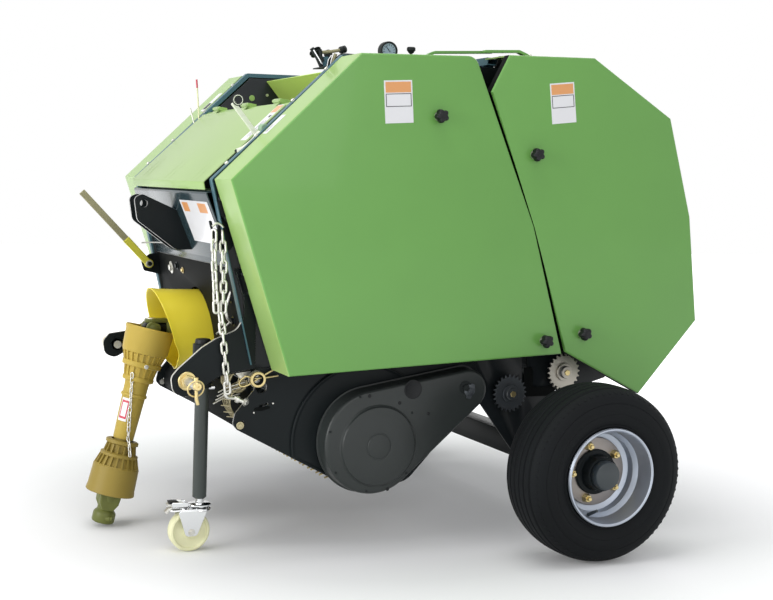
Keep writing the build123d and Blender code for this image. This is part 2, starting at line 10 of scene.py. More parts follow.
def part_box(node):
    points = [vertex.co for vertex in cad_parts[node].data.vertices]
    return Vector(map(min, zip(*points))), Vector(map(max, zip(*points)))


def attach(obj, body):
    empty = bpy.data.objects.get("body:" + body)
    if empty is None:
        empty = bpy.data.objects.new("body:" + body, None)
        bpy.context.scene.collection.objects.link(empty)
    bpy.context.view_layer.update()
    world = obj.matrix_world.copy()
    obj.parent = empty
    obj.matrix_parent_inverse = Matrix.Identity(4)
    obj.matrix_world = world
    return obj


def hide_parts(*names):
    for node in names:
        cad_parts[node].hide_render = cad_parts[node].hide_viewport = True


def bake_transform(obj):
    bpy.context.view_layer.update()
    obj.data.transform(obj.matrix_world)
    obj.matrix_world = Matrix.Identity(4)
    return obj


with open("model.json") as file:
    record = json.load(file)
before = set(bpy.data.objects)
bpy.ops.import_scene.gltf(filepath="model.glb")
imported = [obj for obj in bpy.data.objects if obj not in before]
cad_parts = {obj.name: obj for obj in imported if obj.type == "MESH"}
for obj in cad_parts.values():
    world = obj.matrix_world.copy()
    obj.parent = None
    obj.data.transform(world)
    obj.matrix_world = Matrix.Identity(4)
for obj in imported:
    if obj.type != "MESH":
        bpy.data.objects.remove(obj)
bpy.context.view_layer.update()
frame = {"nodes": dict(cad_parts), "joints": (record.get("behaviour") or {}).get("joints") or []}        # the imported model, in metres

MM = 0.001
TO_LEFT, FORWARD, UPWARD = (1, 0, 0), (0, -1, 0), (0, 0, 1)
JOINTS = {joint["name"]: joint for joint in frame["joints"]}

# Places are written in the machine's own millimetres: y counts from a point 30 mm behind the
# tailgate hinge, and SHIFT moves them to the frame.
HINGE_Y = -30.0
SHIFT = JOINTS["tailgate_lift"]["pos_m"][1] / MM - HINGE_Y
WALL_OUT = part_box("wall_left")[1].x / MM           # outer face of the side wall
WALL_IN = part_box("wall_left")[0].x / MM
COVER_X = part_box("front_cover_left")[1].x / MM     # outer face of the covers
FLANGE_X = WALL_OUT + 25                           # inner edge of the covers' folded edges
AXLE = ((JOINTS["wheel_left_spin"]["pos_m"][1]) / MM - SHIFT, JOINTS["wheel_left_spin"]["pos_m"][2] / MM)
TRACK = JOINTS["wheel_left_spin"]["pos_m"][0] / MM
TYRE_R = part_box("tyre_left")[1].z / MM / 2


def spot(x, y, z):
    """A point of the machine, in millimetres, as a place in the frame, in metres."""
    return Vector((x, y + SHIFT, z)) * MM


WHEEL_AT = spot(TRACK, *AXLE)                      # the left wheel's middle


# ---- finishes ----------------------------------------------------------------
def shader_node(tree, kind, operation=None, **values):
    """A new node with its inputs' constants; _ stands for a space in an input's name."""
    node = tree.nodes.new("ShaderNode" + kind)
    if operation:
        node.operation = operation
    for name, value in values.items():
        node.inputs[name.replace("_", " ")].default_value = value
    return node


def finish(name, colour, rough, metal=0.0, coat=0.0, grain=200.0, bump=0.02, vary=0.06, spec=0.5):
    """A finish with fine grain and a slow change of tone, by the share vary, and of roughness."""
    rough_vary = 0.08
    mat = bpy.data.materials.new(name)
    mat.use_nodes = True
    tree = mat.node_tree
    shader = tree.nodes["Principled BSDF"]

    def link(source, target):
        """Joins two sockets."""
        tree.links.new(source, target)

    for name, value in (("Metallic", metal), ("Coat Weight", coat), ("Coat Roughness", 0.06),
                        ("Specular IOR Level", spec)):
        shader.inputs[name].default_value = value
    place = shader_node(tree, "TexCoord")
    slow = shader_node(tree, "TexNoise", Scale=5.0, Detail=4.0)
    fine = shader_node(tree, "TexNoise", Scale=grain, Detail=3.0)
    for texture in (slow, fine):
        link(place.outputs["Object"], texture.inputs["Vector"])
    tone = shader_node(tree, "ValToRGB")
    low, high = tone.color_ramp.elements
    low.position, high.position = 0.3, 0.7
    low.color = [c * (1 - vary) for c in colour] + [1]
    high.color = [min(c * (1 + vary), 1) for c in colour] + [1]
    link(slow.outputs["Fac"], tone.inputs["Fac"])
    sheen_range = shader_node(tree, "MapRange", To_Min=max(rough - rough_vary, 0.03),
                              To_Max=min(rough + rough_vary, 1))
    link(tone.outputs["Color"], shader.inputs["Base Color"])
    link(slow.outputs["Fac"], sheen_range.inputs["Value"])
    link(sheen_range.outputs[0], shader.inputs["Roughness"])
    relief = shader_node(tree, "Bump", Strength=bump, Distance=0.001)
    link(fine.outputs["Fac"], relief.inputs["Height"])
    link(relief.outputs[0], shader.inputs["Normal"])
    return mat


GREEN = finish("green_paint", (0.155, 0.38, 0.085), 0.34, coat=0.15, spec=0.35, grain=90, bump=0.05,
               vary=0.025)
# the same green paint made lighter: painted sunlight on the covers' flanges, the lid's lip and its hinge bar
LIME_PAINTED_SUNLIGHT = finish("lime_painted_sunlight", (0.32, 0.50, 0.15), 0.34, coat=0.15, spec=0.35, grain=90, bump=0.05, vary=0.03)
SLATE = finish("slate_paint", (0.022, 0.042, 0.050), 0.20, coat=0.2, spec=0.4, grain=120, bump=0.04,
               vary=0.10)
BLACK = finish("black_paint", (0.008, 0.011, 0.012), 0.36, spec=0.14, grain=260, bump=0.06, vary=0.2)
SATIN = finish("satin_black", (0.018, 0.022, 0.022), 0.48, spec=0.15, grain=420, bump=0.10, vary=0.12)
PLASTIC = finish("black_plastic", (0.009, 0.010, 0.011), 0.42, spec=0.25, grain=500, bump=0.12, vary=0.1)
YELLOW = finish("yellow_plastic", (0.97, 0.80, 0.055), 0.34, grain=160, bump=0.05, vary=0.03)
MUSTARD = finish("mustard_plastic", (0.48, 0.35, 0.064), 0.45, spec=0.25, grain=240, bump=0.10, vary=0.08)
# a darker copy of the mustard plastic for the lower bell: painted shade
MUSTARD_PAINTED_SHADE = finish("mustard_painted_shade", (0.28, 0.205, 0.042), 0.45, spec=0.25, grain=240, bump=0.10, vary=0.08)
OLIVE = finish("olive_metal", (0.13, 0.145, 0.035), 0.42, spec=0.3, grain=240, bump=0.06, vary=0.18)
STONE = finish("weathered_olive", (0.30, 0.28, 0.16), 0.50, spec=0.3, grain=200, bump=0.03, vary=0.12)
ZINC = finish("zinc_plate", (0.66, 0.65, 0.60), 0.33, metal=0.85, grain=150, bump=0.10, vary=0.14)
GOLD = finish("gold_zinc", (0.62, 0.50, 0.24), 0.32, metal=0.9, grain=160, bump=0.10, vary=0.2)
STEEL = finish("bare_steel", (0.46, 0.46, 0.45), 0.34, metal=0.95, grain=120, bump=0.12, vary=0.15)
CHROME = finish("chrome", (0.82, 0.83, 0.84), 0.10, metal=1.0, grain=60, bump=0.01, vary=0.03)
SILVER = finish("rim_silver", (0.44, 0.48, 0.55), 0.36, metal=0.8, grain=220, bump=0.06, vary=0.05)
# near-black with little sheen: matte black parts, and painted shade on the covers' short flanges and in the
# low seam
MATTE_BLACK_AND_PAINTED_SHADE = finish("matte_black_and_painted_shade", (0.005, 0.006, 0.006), 0.60, spec=0.05, grain=260, bump=0.05, vary=0.25)
GEAR_DARK = finish("sprocket_dark", (0.085, 0.095, 0.105), 0.40, metal=0.7, grain=220, bump=0.15, vary=0.15)
RUBBER = finish("tyre_rubber", (0.006, 0.007, 0.008), 0.66, grain=380, bump=0.25, vary=0.25, spec=0.13)
NYLON = finish("cream_nylon", (0.80, 0.79, 0.50), 0.42, grain=200, bump=0.06, vary=0.05)
PAPER = finish("label_white", (0.84, 0.84, 0.86), 0.36, coat=0.3, grain=300, bump=0.02, vary=0.02)
ORANGE = finish("label_orange", (0.80, 0.36, 0.13), 0.36, coat=0.3, grain=300, bump=0.02, vary=0.03)
RED = finish("label_red", (0.55, 0.03, 0.06), 0.36, coat=0.3, grain=300, bump=0.02, vary=0.03)


# ---- mesh helpers -----------------------------------------------------------------
def piece(name, mesh, material, body, replaces=()):
    """Puts a mesh in the scene, on its body, with one material or a list of them."""
    obj = bpy.data.objects.new(name, mesh)
    bpy.context.scene.collection.objects.link(obj)
    if material:
        materials = material if isinstance(material, (list, tuple)) else [material]
        indices = [0] * len(mesh.polygons)
        mesh.polygons.foreach_get("material_index", indices)
        mesh.materials.clear()
        for mat in materials:
            mesh.materials.append(mat)
        mesh.polygons.foreach_set("material_index", indices)
    if body:
        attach(obj, body)
    if replaces:
        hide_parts(*replaces)
    return obj


def smooth(mesh, angle=35):
    """Smooth shading with sharp edges where faces turn by more than angle."""
    mesh.shade_smooth()
    mesh.set_sharp_from_angle(angle=radians(angle))


def bevelled(mesh, width, segments=2, angle=30):
    """Rounds a mesh's sharp edges by width, in metres."""
    obj = bpy.data.objects.new("work", mesh)
    bpy.context.scene.collection.objects.link(obj)
    mod = obj.modifiers.new("edge", "BEVEL")
    mod.width = width
    mod.segments = segments
    mod.limit_method = "ANGLE"
    mod.angle_limit = radians(angle)
    mod.harden_normals = False
    result = baked(obj)
    smooth(result, 50)
    return result


def baked(obj):
    """The object's mesh with its modifiers or curve applied; the object goes."""
    bpy.context.view_layer.update()
    graph = bpy.context.evaluated_depsgraph_get()
    result = bpy.data.meshes.new_from_object(obj.evaluated_get(graph))
    bpy.data.objects.remove(obj)
    return result


def finished(work, name, recalc=True):
    """A mesh from a bmesh, which goes, with its faces turned outwards."""
    if recalc:
        bmesh.ops.recalc_face_normals(work, faces=work.faces)
    mesh = bpy.data.meshes.new(name)
    work.to_mesh(mesh)
    work.free()
    return mesh


def skirt(work, low, high):
    """Faces between two rows of corners that run round."""
    for corners in zip(low, low[1:] + low[:1], high[1:] + high[:1], high):
        work.faces.new(corners)


def joined(parts):
    """One mesh from several: a part is a mesh, or a row of its material slot's index and the mesh."""
    whole = bmesh.new()
    for part in parts:
        if isinstance(part, tuple):
            index, part = part
            for face in part.polygons:
                face.material_index = index
        whole.from_mesh(part)
    return finished(whole, "joined", False)


def thickened(mesh, thick, offset=-1, even=False):
    """A thin sheet given its thickness, in metres."""
    obj = bpy.data.objects.new("work", mesh)
    bpy.context.scene.collection.objects.link(obj)
    mod = obj.modifiers.new("thick", "SOLIDIFY")
    mod.thickness = thick
    mod.offset = offset
    mod.use_even_offset = even
    return baked(obj)


def moved(mesh, matrix):
    """A copy of a mesh, moved or mirrored."""
    copy = mesh.copy()
    copy.transform(matrix)
    if matrix.determinant() < 0:
        copy.flip_normals()
    return copy


MIRROR = Matrix.Diagonal((-1, 1, 1, 1))


def rounded(points, radius, steps=5):
    """An outline with its corners rounded: each point may carry its own radius as a third value."""
    result = []
    count = len(points)
    for i, point in enumerate(points):
        here = Vector(point[:2])
        before, after = Vector(points[i - 1][:2]) - here, Vector(points[(i + 1) % count][:2]) - here
        r = point[2] if len(point) > 2 else radius
        half = before.angle(after) / 2
        reach = min(r / math.tan(half), before.length * 0.48, after.length * 0.48)
        if r <= 0 or reach < 0.05 or half > radians(88):
            result.append(here)
            continue
        r = reach * math.tan(half)
        middle = here + (before.normalized() + after.normalized()).normalized() * (r / sin(half))
        start, end = here + before.normalized() * reach - middle, here + after.normalized() * reach - middle
        turn = start.angle_signed(end)
        for k in range(steps + 1):
            a = -turn * k / steps
            turned = (start.x * cos(a) - start.y * sin(a), start.x * sin(a) + start.y * cos(a))
            result.append(middle + Vector(turned))
    return result


def ring(y, z, r, count=32):
    """A round outline."""
    return [(y + r * cos(2 * pi * k / count), z + r * sin(2 * pi * k / count)) for k in range(count)]


def sheet_shape(outlines, thick, edge=0.4):
    """A flat mesh in its own XY plane, thick along Z from 0, from an outline and its holes, in mm."""
    curve = bpy.data.curves.new("flat", "CURVE")
    curve.dimensions = "2D"
    curve.fill_mode = "BOTH"
    edge = min(edge, thick * 0.45)
    curve.extrude = (thick / 2 - edge) * MM
    curve.bevel_depth = edge * MM
    curve.bevel_resolution = 1
    curve.offset = -edge * MM
    for outline in outlines:
        spline = curve.splines.new("POLY")
        spline.points.add(len(outline) - 1)
        for point, (a, b) in zip(spline.points, outline):
            point.co = (a * MM, b * MM, 0, 1)
        spline.use_cyclic_u = True
    obj = bpy.data.objects.new("flat", curve)
    bpy.context.scene.collection.objects.link(obj)
    mesh = baked(obj)
    mesh.transform(Matrix.Translation((0, 0, thick / 2 * MM)))
    smooth(mesh, 40)
    return mesh


def side_plate(outline, x0, x1, holes=(), edge=0.4, radius=0.0, steps=5):
    """A plate square to X with a (y, z) outline in the machine's millimetres."""
    flat = sheet_shape([rounded(outline, radius, steps)] + [list(h) for h in holes], x1 - x0, edge)
    turn = Matrix(((0, 0, 1, x0 * MM), (1, 0, 0, SHIFT * MM), (0, 1, 0, 0), (0, 0, 0, 1)))
    flat.transform(turn)
    return flat


def lathe(profile, start, axis, count=48, closed=False):
    """A turned mesh: profile rows are (distance along the axis, radius), in mm, from start."""
    axis = Vector(axis).normalized()
    across = axis.orthogonal().normalized()
    up = axis.cross(across)
    work = bmesh.new()
    rings = []
    for distance, r in profile:
        centre = start + axis * distance * MM
        if r < 0.01:
            rings.append([work.verts.new(centre)])
            continue
        turns = [2 * pi * k / count for k in range(count)]
        rings.append([work.verts.new(centre + (across * cos(a) + up * sin(a)) * r * MM) for a in turns])
    pairs = list(zip(rings, rings[1:])) + ([(rings[-1], rings[0])] if closed else [])
    for a, b in pairs:
        for k in range(count):
            j = (k + 1) % count
            corners = [a[k % len(a)], a[j % len(a)], b[j % len(b)], b[k % len(b)]]
            corners = list(dict.fromkeys(corners))
            if len(corners) > 2:
                work.faces.new(corners)
    if not closed:
        for end in (rings[0], rings[-1]):
            if len(end) > 2:
                work.faces.new(end)
    mesh = finished(work, "turned")
    smooth(mesh, 32)
    return mesh


def wire(points, r, kind="POLY", closed=False, sides=3):
    """A round bar along points in the frame, in metres, of radius r in mm."""
    curve = bpy.data.curves.new("wire", "CURVE")
    curve.dimensions = "3D"
    curve.bevel_depth = r * MM
    curve.bevel_resolution = sides
    curve.use_fill_caps = True
    spline = curve.splines.new(kind)
    spline.points.add(len(points) - 1)
    for point, place in zip(spline.points, points):
        point.co = (*place, 1)
    spline.use_cyclic_u = closed
    if kind == "NURBS":
        spline.order_u = 3
        spline.use_endpoint_u = not closed
        spline.resolution_u = 6
    obj = bpy.data.objects.new("wire", curve)
    bpy.context.scene.collection.objects.link(obj)
    mesh = baked(obj)
    smooth(mesh, 60)
    return mesh


def straight(points, r, sides=3):
    """A straight-sided round bar through points of the machine."""
    return wire([spot(*point) for point in points], r, sides=sides)


def bent(points, r, sides=3):
    """A smoothly bent round bar along points of the machine."""
    return wire([spot(*point) for point in points], r, "NURBS", sides=sides)


def cylinder(start, end, r, at, axis, count=48):
    """A solid cylinder between two distances along its axis."""
    return lathe([(start, 0), (start, r), (end, r), (end, 0)], at, axis, count)


def tube(start, end, r_in, r_out, at, axis, count=48):
    """A ring with a square section between two distances along its axis."""
    return lathe([(start, r_in), (start, r_out), (end, r_out), (end, r_in)], at, axis, count, closed=True)


def bolt(at, axis, r=6.0, washer=1.7, head=0.7):
    """A hexagon head on a washer, seated at a point."""
    disc = lathe([(0, 0), (0, r * washer), (1.2, r * washer), (1.5, r * washer - 0.4), (1.5, 0)], at, axis,
                 24)
    lift = at + Vector(axis).normalized() * 1.5 * MM
    cap = lathe([(0, r), (r * head - 0.8, r), (r * head, r * 0.88), (r * head, 0)], lift, axis, 6)
    return joined([disc, cap])


def refined(node, width=0.8, segments=2):
    """A copy of a CAD node's mesh with clean faces and rounded edges."""
    work = bmesh.new()
    work.from_mesh(frame["nodes"][node].data)
    bmesh.ops.remove_doubles(work, verts=work.verts, dist=2e-6)
    bmesh.ops.dissolve_limit(work, angle_limit=radians(0.6), verts=work.verts, edges=work.edges)
    mesh = finished(work, node, False)
    mesh.materials.clear()
    return bevelled(mesh, width * MM, segments, 34)


# ---- camera, floor and light ---------------------------------------------------
scene = bpy.context.scene
scene.view_settings.view_transform = "Standard"

camera = bpy.data.objects.new("camera", bpy.data.cameras.new("camera"))
camera.data.sensor_width = 36.0
camera.data.lens = 62.21
camera.data.clip_end = 60
right = Vector((0.41248494, 0.91028924, 0.03506672))
up = Vector((-0.09111862, 0.00292694, 0.99583574))
back = Vector((0.90639593, -0.41396248, 0.08415161))
CAMERA_AT = (3.3777063, -1.4695674, 0.8955888)
camera.matrix_world = Matrix.Translation(CAMERA_AT) @ Matrix((right, up, back)).transposed().to_4x4()
scene.collection.objects.link(camera)
scene.camera = camera

# the floor keeps the machine's shadow; to the camera and to mirrors it brightens to white away from it
ground = bpy.data.materials.new("pale_floor")
ground.use_nodes = True
tree = ground.node_tree
paint = tree.nodes["Principled BSDF"]
paint.inputs["Roughness"].default_value = 0.9
paint.inputs["Specular IOR Level"].default_value = 0.1
speckle = shader_node(tree, "TexNoise", Scale=3.0)
tone = shader_node(tree, "ValToRGB")
for element, grey in zip(tone.color_ramp.elements, (0.84, 0.88)):
    element.color = (grey, grey, grey, 1)
tree.links.new(speckle.outputs["Fac"], tone.inputs["Fac"])
tree.links.new(tone.outputs["Color"], paint.inputs["Base Color"])
place = shader_node(tree, "TexCoord")
reach = shader_node(tree, "VectorMath", "LENGTH")
tree.links.new(place.outputs["Object"], reach.inputs[0])
glow_range = shader_node(tree, "MapRange", From_Min=0.7, From_Max=3.0, To_Min=0.05, To_Max=1.0)
tree.links.new(reach.outputs["Value"], glow_range.inputs["Value"])


def seen_directly(tree):
    """1 for camera, glossy and transmission rays, else 0."""
    rays = shader_node(tree, "LightPath")
    total = rays.outputs["Is Camera Ray"]
    for kind in ("Is Glossy Ray", "Is Transmission Ray"):
        either = shader_node(tree, "Math", "MAXIMUM")
        tree.links.new(total, either.inputs[0])
        tree.links.new(rays.outputs[kind], either.inputs[1])
        total = either.outputs[0]
    return total


glow = shader_node(tree, "Emission")
strength = shader_node(tree, "Math", "MULTIPLY")
tree.links.new(glow_range.outputs[0], strength.inputs[0])
tree.links.new(seen_directly(tree), strength.inputs[1])
tree.links.new(strength.outputs[0], glow.inputs["Strength"])
both = shader_node(tree, "AddShader")
tree.links.new(paint.outputs[0], both.inputs[0])
tree.links.new(glow.outputs[0], both.inputs[1])
tree.links.new(both.outputs[0], tree.nodes["Material Output"].inputs["Surface"])

FLOOR_HALF = 14
FLOOR_Z = -0.0006            # just under the tyres
floor_mesh = bpy.data.meshes.new("floor")
floor_corners = [(x * FLOOR_HALF, y * FLOOR_HALF, FLOOR_Z) for x, y in ((-1, -1), (1, -1), (1, 1), (-1, 1))]
floor_mesh.from_pydata(floor_corners, [], [(0, 1, 2, 3)])
floor_mesh.materials.append(ground)
floor = bpy.data.objects.new("floor", floor_mesh)
scene.collection.objects.link(floor)

# a white room to the camera and to mirrors, plain soft grey light to the rest
world = bpy.data.worlds.new("room")
scene.world = world
world.use_nodes = True
tree = world.node_tree
soft, white, mix = tree.nodes["Background"], shader_node(tree, "Background"), shader_node(tree, "MixShader")
soft.inputs["Color"].default_value = (0.95, 0.97, 1.0, 1)
soft.inputs["Strength"].default_value = 0.50
white.inputs["Color"].default_value = (1, 1, 1, 1)
tree.links.new(seen_directly(tree), mix.inputs["Fac"])
tree.links.new(soft.outputs[0], mix.inputs[1])
tree.links.new(white.outputs[0], mix.inputs[2])
tree.links.new(mix.outputs[0], tree.nodes["World Output"].inputs["Surface"])


def lamp(name, place, power, size):
    """A soft oblong light aimed at the machine's middle."""
    aim = (0, 0, 0.6)
    light = bpy.data.lights.new(name, "AREA")
    light.shape = "RECTANGLE"
    light.size, light.size_y = size
    light.energy = power
    obj = bpy.data.objects.new(name, light)
    obj.location = place
    obj.rotation_euler = (Vector(aim) - Vector(place)).to_track_quat("-Z", "Y").to_euler()
    scene.collection.objects.link(obj)


lamp("lamp_top", (0.4, -0.8, 4.2), 60, (2.6, 2.6))
lamp("lamp_side", (4.6, -0.4, 2.2), 33, (3.0, 2.4))
lamp("lamp_front", (1.1, -4.3, 1.5), 100, (2.6, 1.9))
lamp("lamp_back", (-3.6, 3.4, 2.6), 45, (3.0, 2.4))


# ---- covers: folded sheets with a full flange outside and a short one at the seam ---------
FOLD = 5.0              # outside radius of a sheet's folds
SHEET = 3.0
FRONT_COVER = rounded([(-677, 900), (-369, 1203), (-70, 1217, 30), (111, 812), (209, 490), (-524, 451)], 0, 4)
REAR_COVER = [
    (21, 1226), (266, 1236), (506, 1098), (583, 846), (620, 572), (449, 381),
    (215, 496), (116, 812), (-26, 1134),
]
# ends of each cover's hinge line and its two knuckles' places along it
DOOR_LINES = {
    "front": ((-524, 451), (-677, 900), (0.46, 0.85)),
    "rear": ((620, 572), (583, 846), (0.15, 0.85)),
}


def inset(points, d):
    """A convex outline drawn in by d."""
    result = []
    for i, point in enumerate(points):
        here = Vector(point)
        a, b = Vector(points[i - 1]) - here, Vector(points[(i + 1) % len(points)]) - here
        half = a.angle(b) / 2
        result.append(here + (a.normalized() + b.normalized()).normalized() * (d / sin(half)))
    return result


def folded_cover(outline, short_edges):
    """A cover's shell: flat face, rounded folds, flanges, and short flanges on the edges named."""
    work = bmesh.new()
    rows = []
    for depth in (COVER_X - FLANGE_X, 25, FOLD):
        rows.append((COVER_X - depth, outline))
    for k in range(1, 5):
        a = radians(22.5 * k)
        rows.append((COVER_X - FOLD + FOLD * sin(a), inset(outline, FOLD * (1 - cos(a)))))
    if outline is REAR_COVER:
        # the lower rear flange is cut back at its front corner
        corner, before = Vector(outline[5]), Vector(outline[4])
        cut = corner + (before - corner).normalized() * 36
        rows[0] = (rows[0][0], outline[:5] + [tuple(cut)] + outline[6:])
    grid = [[work.verts.new(spot(x, y, z)) for y, z in line] for x, line in rows]
    count = len(outline)
    for r, (low, high) in enumerate(zip(grid, grid[1:])):
        for i in range(count):
            if r == 0 and i in short_edges:
                continue
            j = (i + 1) % count
            face = work.faces.new((low[i], low[j], high[j], high[i]))
            # flanges take the lighter lime as painted sunlight and the short flanges near-black as painted
            # shade; the face is green
            face.material_index = (2 if i in short_edges else 1) if r < 3 else 0
    work.faces.new(grid[-1])
    loose = [v for v in work.verts if not v.link_faces]
    bmesh.ops.delete(work, geom=loose)
    bmesh.ops.recalc_face_normals(work, faces=work.faces)
    if sum(face.normal.x * face.calc_area() for face in work.faces) < 0:
        bmesh.ops.reverse_faces(work, faces=work.faces)
    mesh = finished(work, "cover", False)
    result = thickened(mesh, SHEET * MM, even=True)
    smooth(result, 30)
    return result


def line_point(which, share, x):
    """A place on a cover's hinge line, by its share of the way up."""
    start, end, _ = DOOR_LINES[which]
    return spot(x, start[0] + (end[0] - start[0]) * share, start[1] + (end[1] - start[1]) * share)


def cover_meshes(which, outline, short_edges):
    """The left cover's shell with its knuckles and stiffeners inside."""
    parts = [folded_cover(outline, short_edges)]
    start, end, places = DOOR_LINES[which]
    axis = line_point(which, 1, WALL_OUT + 20) - line_point(which, 0, WALL_OUT + 20)
    for place in places:
        middle = line_point(which, place, WALL_OUT + 20)
        low = middle - axis.normalized() * 20 * MM
        parts.append((2, lathe(
            [(0, 4.2), (0, 6.9), (0.6, 7.5), (39.4, 7.5), (40, 6.9), (40, 4.2)], low, axis, 24, closed=True,
        )))
    # stiffening channels behind the face
    if which == "front":
        bars = [((-540, 880), (10, 905)), ((-470, 590), (120, 612))]
    else:
        bars = [((110, 1000), (480, 1010)), ((205, 620), (560, 600))]
    for (ay, az), (by, bz) in bars:
        run = Vector((by - ay, bz - az))
        across = Vector((-run.y, run.x)).normalized()
        section = [(-26, 0), (-26, 2.2), (-15, 2.2), (-12, 16), (12, 16), (15, 2.2), (26, 2.2), (26, 0)]
        work = bmesh.new()
        ends = []
        for y, z in ((ay, az), (by, bz)):
            ends.append([
                work.verts.new(spot(COVER_X - SHEET - depth, y + across.x * w, z + across.y * w))
                for w, depth in section
            ])
        skirt(work, *ends)
        work.faces.new(ends[0])
        work.faces.new(ends[1])
        mesh = finished(work, "bar")
        parts.append(bevelled(mesh, 0.8 * MM, 2))
    return joined(parts)


def label(name, body, corner, across, down, blocks, outward):
    """A blank sticker: a white plate with plain colour blocks, from three of its corners.

    blocks: (u0, v0, u1, v1, material index) in shares of the sticker, lifted a little.
    """
    work = bmesh.new()
    normal = across.cross(down).normalized()
    if normal.dot(outward) < 0:
        normal.negate()

    def patch(u0, v0, u1, v1, lift, thick, index):
        """A thin block over a share of the sticker."""
        corners = []
        for u, v in ((u0, v0), (u1, v0), (u1, v1), (u0, v1)):
            corners.append(corner + across * u + down * v)
        low = [work.verts.new(c + normal * lift) for c in corners]
        high = [work.verts.new(c + normal * (lift + thick)) for c in corners]
        faces = [work.faces.new(low), work.faces.new(high)]
        for i in range(4):
            j = (i + 1) % 4
            faces.append(work.faces.new((low[i], low[j], high[j], high[i])))
        for face in faces:
            face.material_index = index

    patch(0, 0, 1, 1, 0.00005, 0.0003, 0)
    for k, (u0, v0, u1, v1, index) in enumerate(blocks):
        patch(u0, v0, u1, v1, 0.0003, 0.0002 + 0.00008 * k, index)
    mesh = finished(work, name)
    return piece(name, mesh, [PAPER, ORANGE, BLACK, RED], body)


SHORT_EDGES = {"front": {2, 3, 4, 5, 6, 7, 8}, "rear": {5, 6, 7, 8}}
for which, outline in (("front", FRONT_COVER), ("rear", REAR_COVER)):
    left = cover_meshes(which, outline, SHORT_EDGES[which])
    for side_name, mesh in (("left", left), ("right", moved(left, MIRROR))):
        node = which + "_cover_" + side_name
        piece(node + "_shell", mesh, [GREEN, LIME_PAINTED_SUNLIGHT, MATTE_BLACK_AND_PAINTED_SHADE], node, [node])

# blank stickers with an orange header and a dark frame
for side_name, flip in (("left", 1), ("right", -1)):
    for which, a, b, c in (
        ("front", (-312, 1143), (-239, 1146), (-300, 1044)),
        ("rear", (137, 1164), (207, 1169), (155, 1066)),
    ):
        corner = spot(flip * COVER_X, *a)
        across, down = spot(flip * COVER_X, *b) - corner, spot(flip * COVER_X, *c) - corner
        # square the sticker up between its two edges
        square = (down - across * (down.dot(across) / across.length_squared)).normalized()
        skew = down.normalized().dot(across.normalized())
        lean = (across.normalized() - square * skew / 2).normalized()
        across = lean * across.length
        down = (down - lean * down.dot(lean)).normalized() * down.length
        frame_w = 0.05
        label(
            "sticker_" + which + "_" + side_name, which + "_cover_" + side_name, corner, across, down,
            [(frame_w, 0.035, 1 - frame_w, 0.285, 1), (frame_w, 0.31, 1 - frame_w, 0.325, 2),
             (frame_w, 0.60, 1 - frame_w, 0.615, 2), (frame_w, 0.31, frame_w + 0.02, 0.615, 2),
             (1 - frame_w - 0.02, 0.31, 1 - frame_w, 0.615, 2)],
            Vector((flip, 0, 0)),
        )


def star_knob(name, body, at, axis, r=20.0):
    """A five-lobed clamp knob with its washer and neck."""
    axis = Vector(axis)
    across = axis.orthogonal().normalized()
    up_way = axis.cross(across)
    work = bmesh.new()
    rows = []
    count = 60
    for height, share in ((7, 0.80), (8, 0.94), (11, 1.0), (20, 1.0), (24, 0.95), (26.5, 0.82), (27.5, 0.6)):
        row = []
        for k in range(count):
            a = 2 * pi * k / count
            wave = 0.5 + 0.5 * cos(5 * a)
            radius = r * (0.72 + 0.28 * wave ** 0.6) * share
            out = across * cos(a) + up_way * sin(a)
            row.append(work.verts.new(at + axis * height * MM + out * radius * MM))
        rows.append(row)
    for low, high in zip(rows, rows[1:]):
        skirt(work, low, high)
    work.faces.new(rows[0])
    work.faces.new(rows[-1])
    grip = finished(work, "grip")
    smooth(grip, 40)
    neck = lathe([(0, 0), (0, 12), (1.5, 12), (1.5, 8.5), (8, 8.5), (8, 0)], at, axis, 24)
    cap = lathe([(27, 6.5), (28.6, 6.5), (29, 6), (29, 0)], at, axis, 24)
    piece(name, joined([grip, (1, neck), cap]), [PLASTIC, ZINC], body)


KNOB_PLACES = {"front": [(-165, 1068), (153, 525)], "rear": [(103, 988), (265, 542)]}
for which, places in KNOB_PLACES.items():
    for n, (y, z) in enumerate(places):
        for side_name, flip in (("left", 1), ("right", -1)):
            star_knob(
                "knob_{}_{}_{}".format(which, side_name, n), which + "_cover_" + side_name,
                spot(flip * COVER_X, y, z), (flip, 0, 0), 17.0,
            )


# ---- folded sheets across the machine ---------------------------------------------
def folded(points, thick, x0, x1, radius=4.0):
    """A sheet folded along X: a (y, z) centre line with rounded folds, thick mm."""
    line = [Vector(p[:2]) for p in points]
    path = [line[0]]
    for before, here, after in zip(line, line[1:], line[2:]):
        a, b = before - here, after - here
        half = a.angle(b) / 2
        reach = min(radius / math.tan(half), a.length * 0.45, b.length * 0.45)
        start, end = here + a.normalized() * reach, here + b.normalized() * reach
        for k in range(5):
            t = k / 4
            path.append(start * (1 - t) ** 2 + here * 2 * t * (1 - t) + end * t * t)
    path.append(line[-1])
    left, right_side = [], []
    for i, p in enumerate(path):
        run = path[min(i + 1, len(path) - 1)] - path[max(i - 1, 0)]
        n = Vector((-run.y, run.x)).normalized() * (thick / 2)
        left.append(p + n)
        right_side.append(p - n)
    return side_plate(left + right_side[::-1], x0, x1, edge=0.5)


def edge_tint(mesh, axis, index):
    """Gives every face that isn't square to an axis the material slot index, as a cut edge."""
    for face in mesh.polygons:
        if abs(face.normal[axis]) < 0.75:
            face.material_index = index
    return mesh


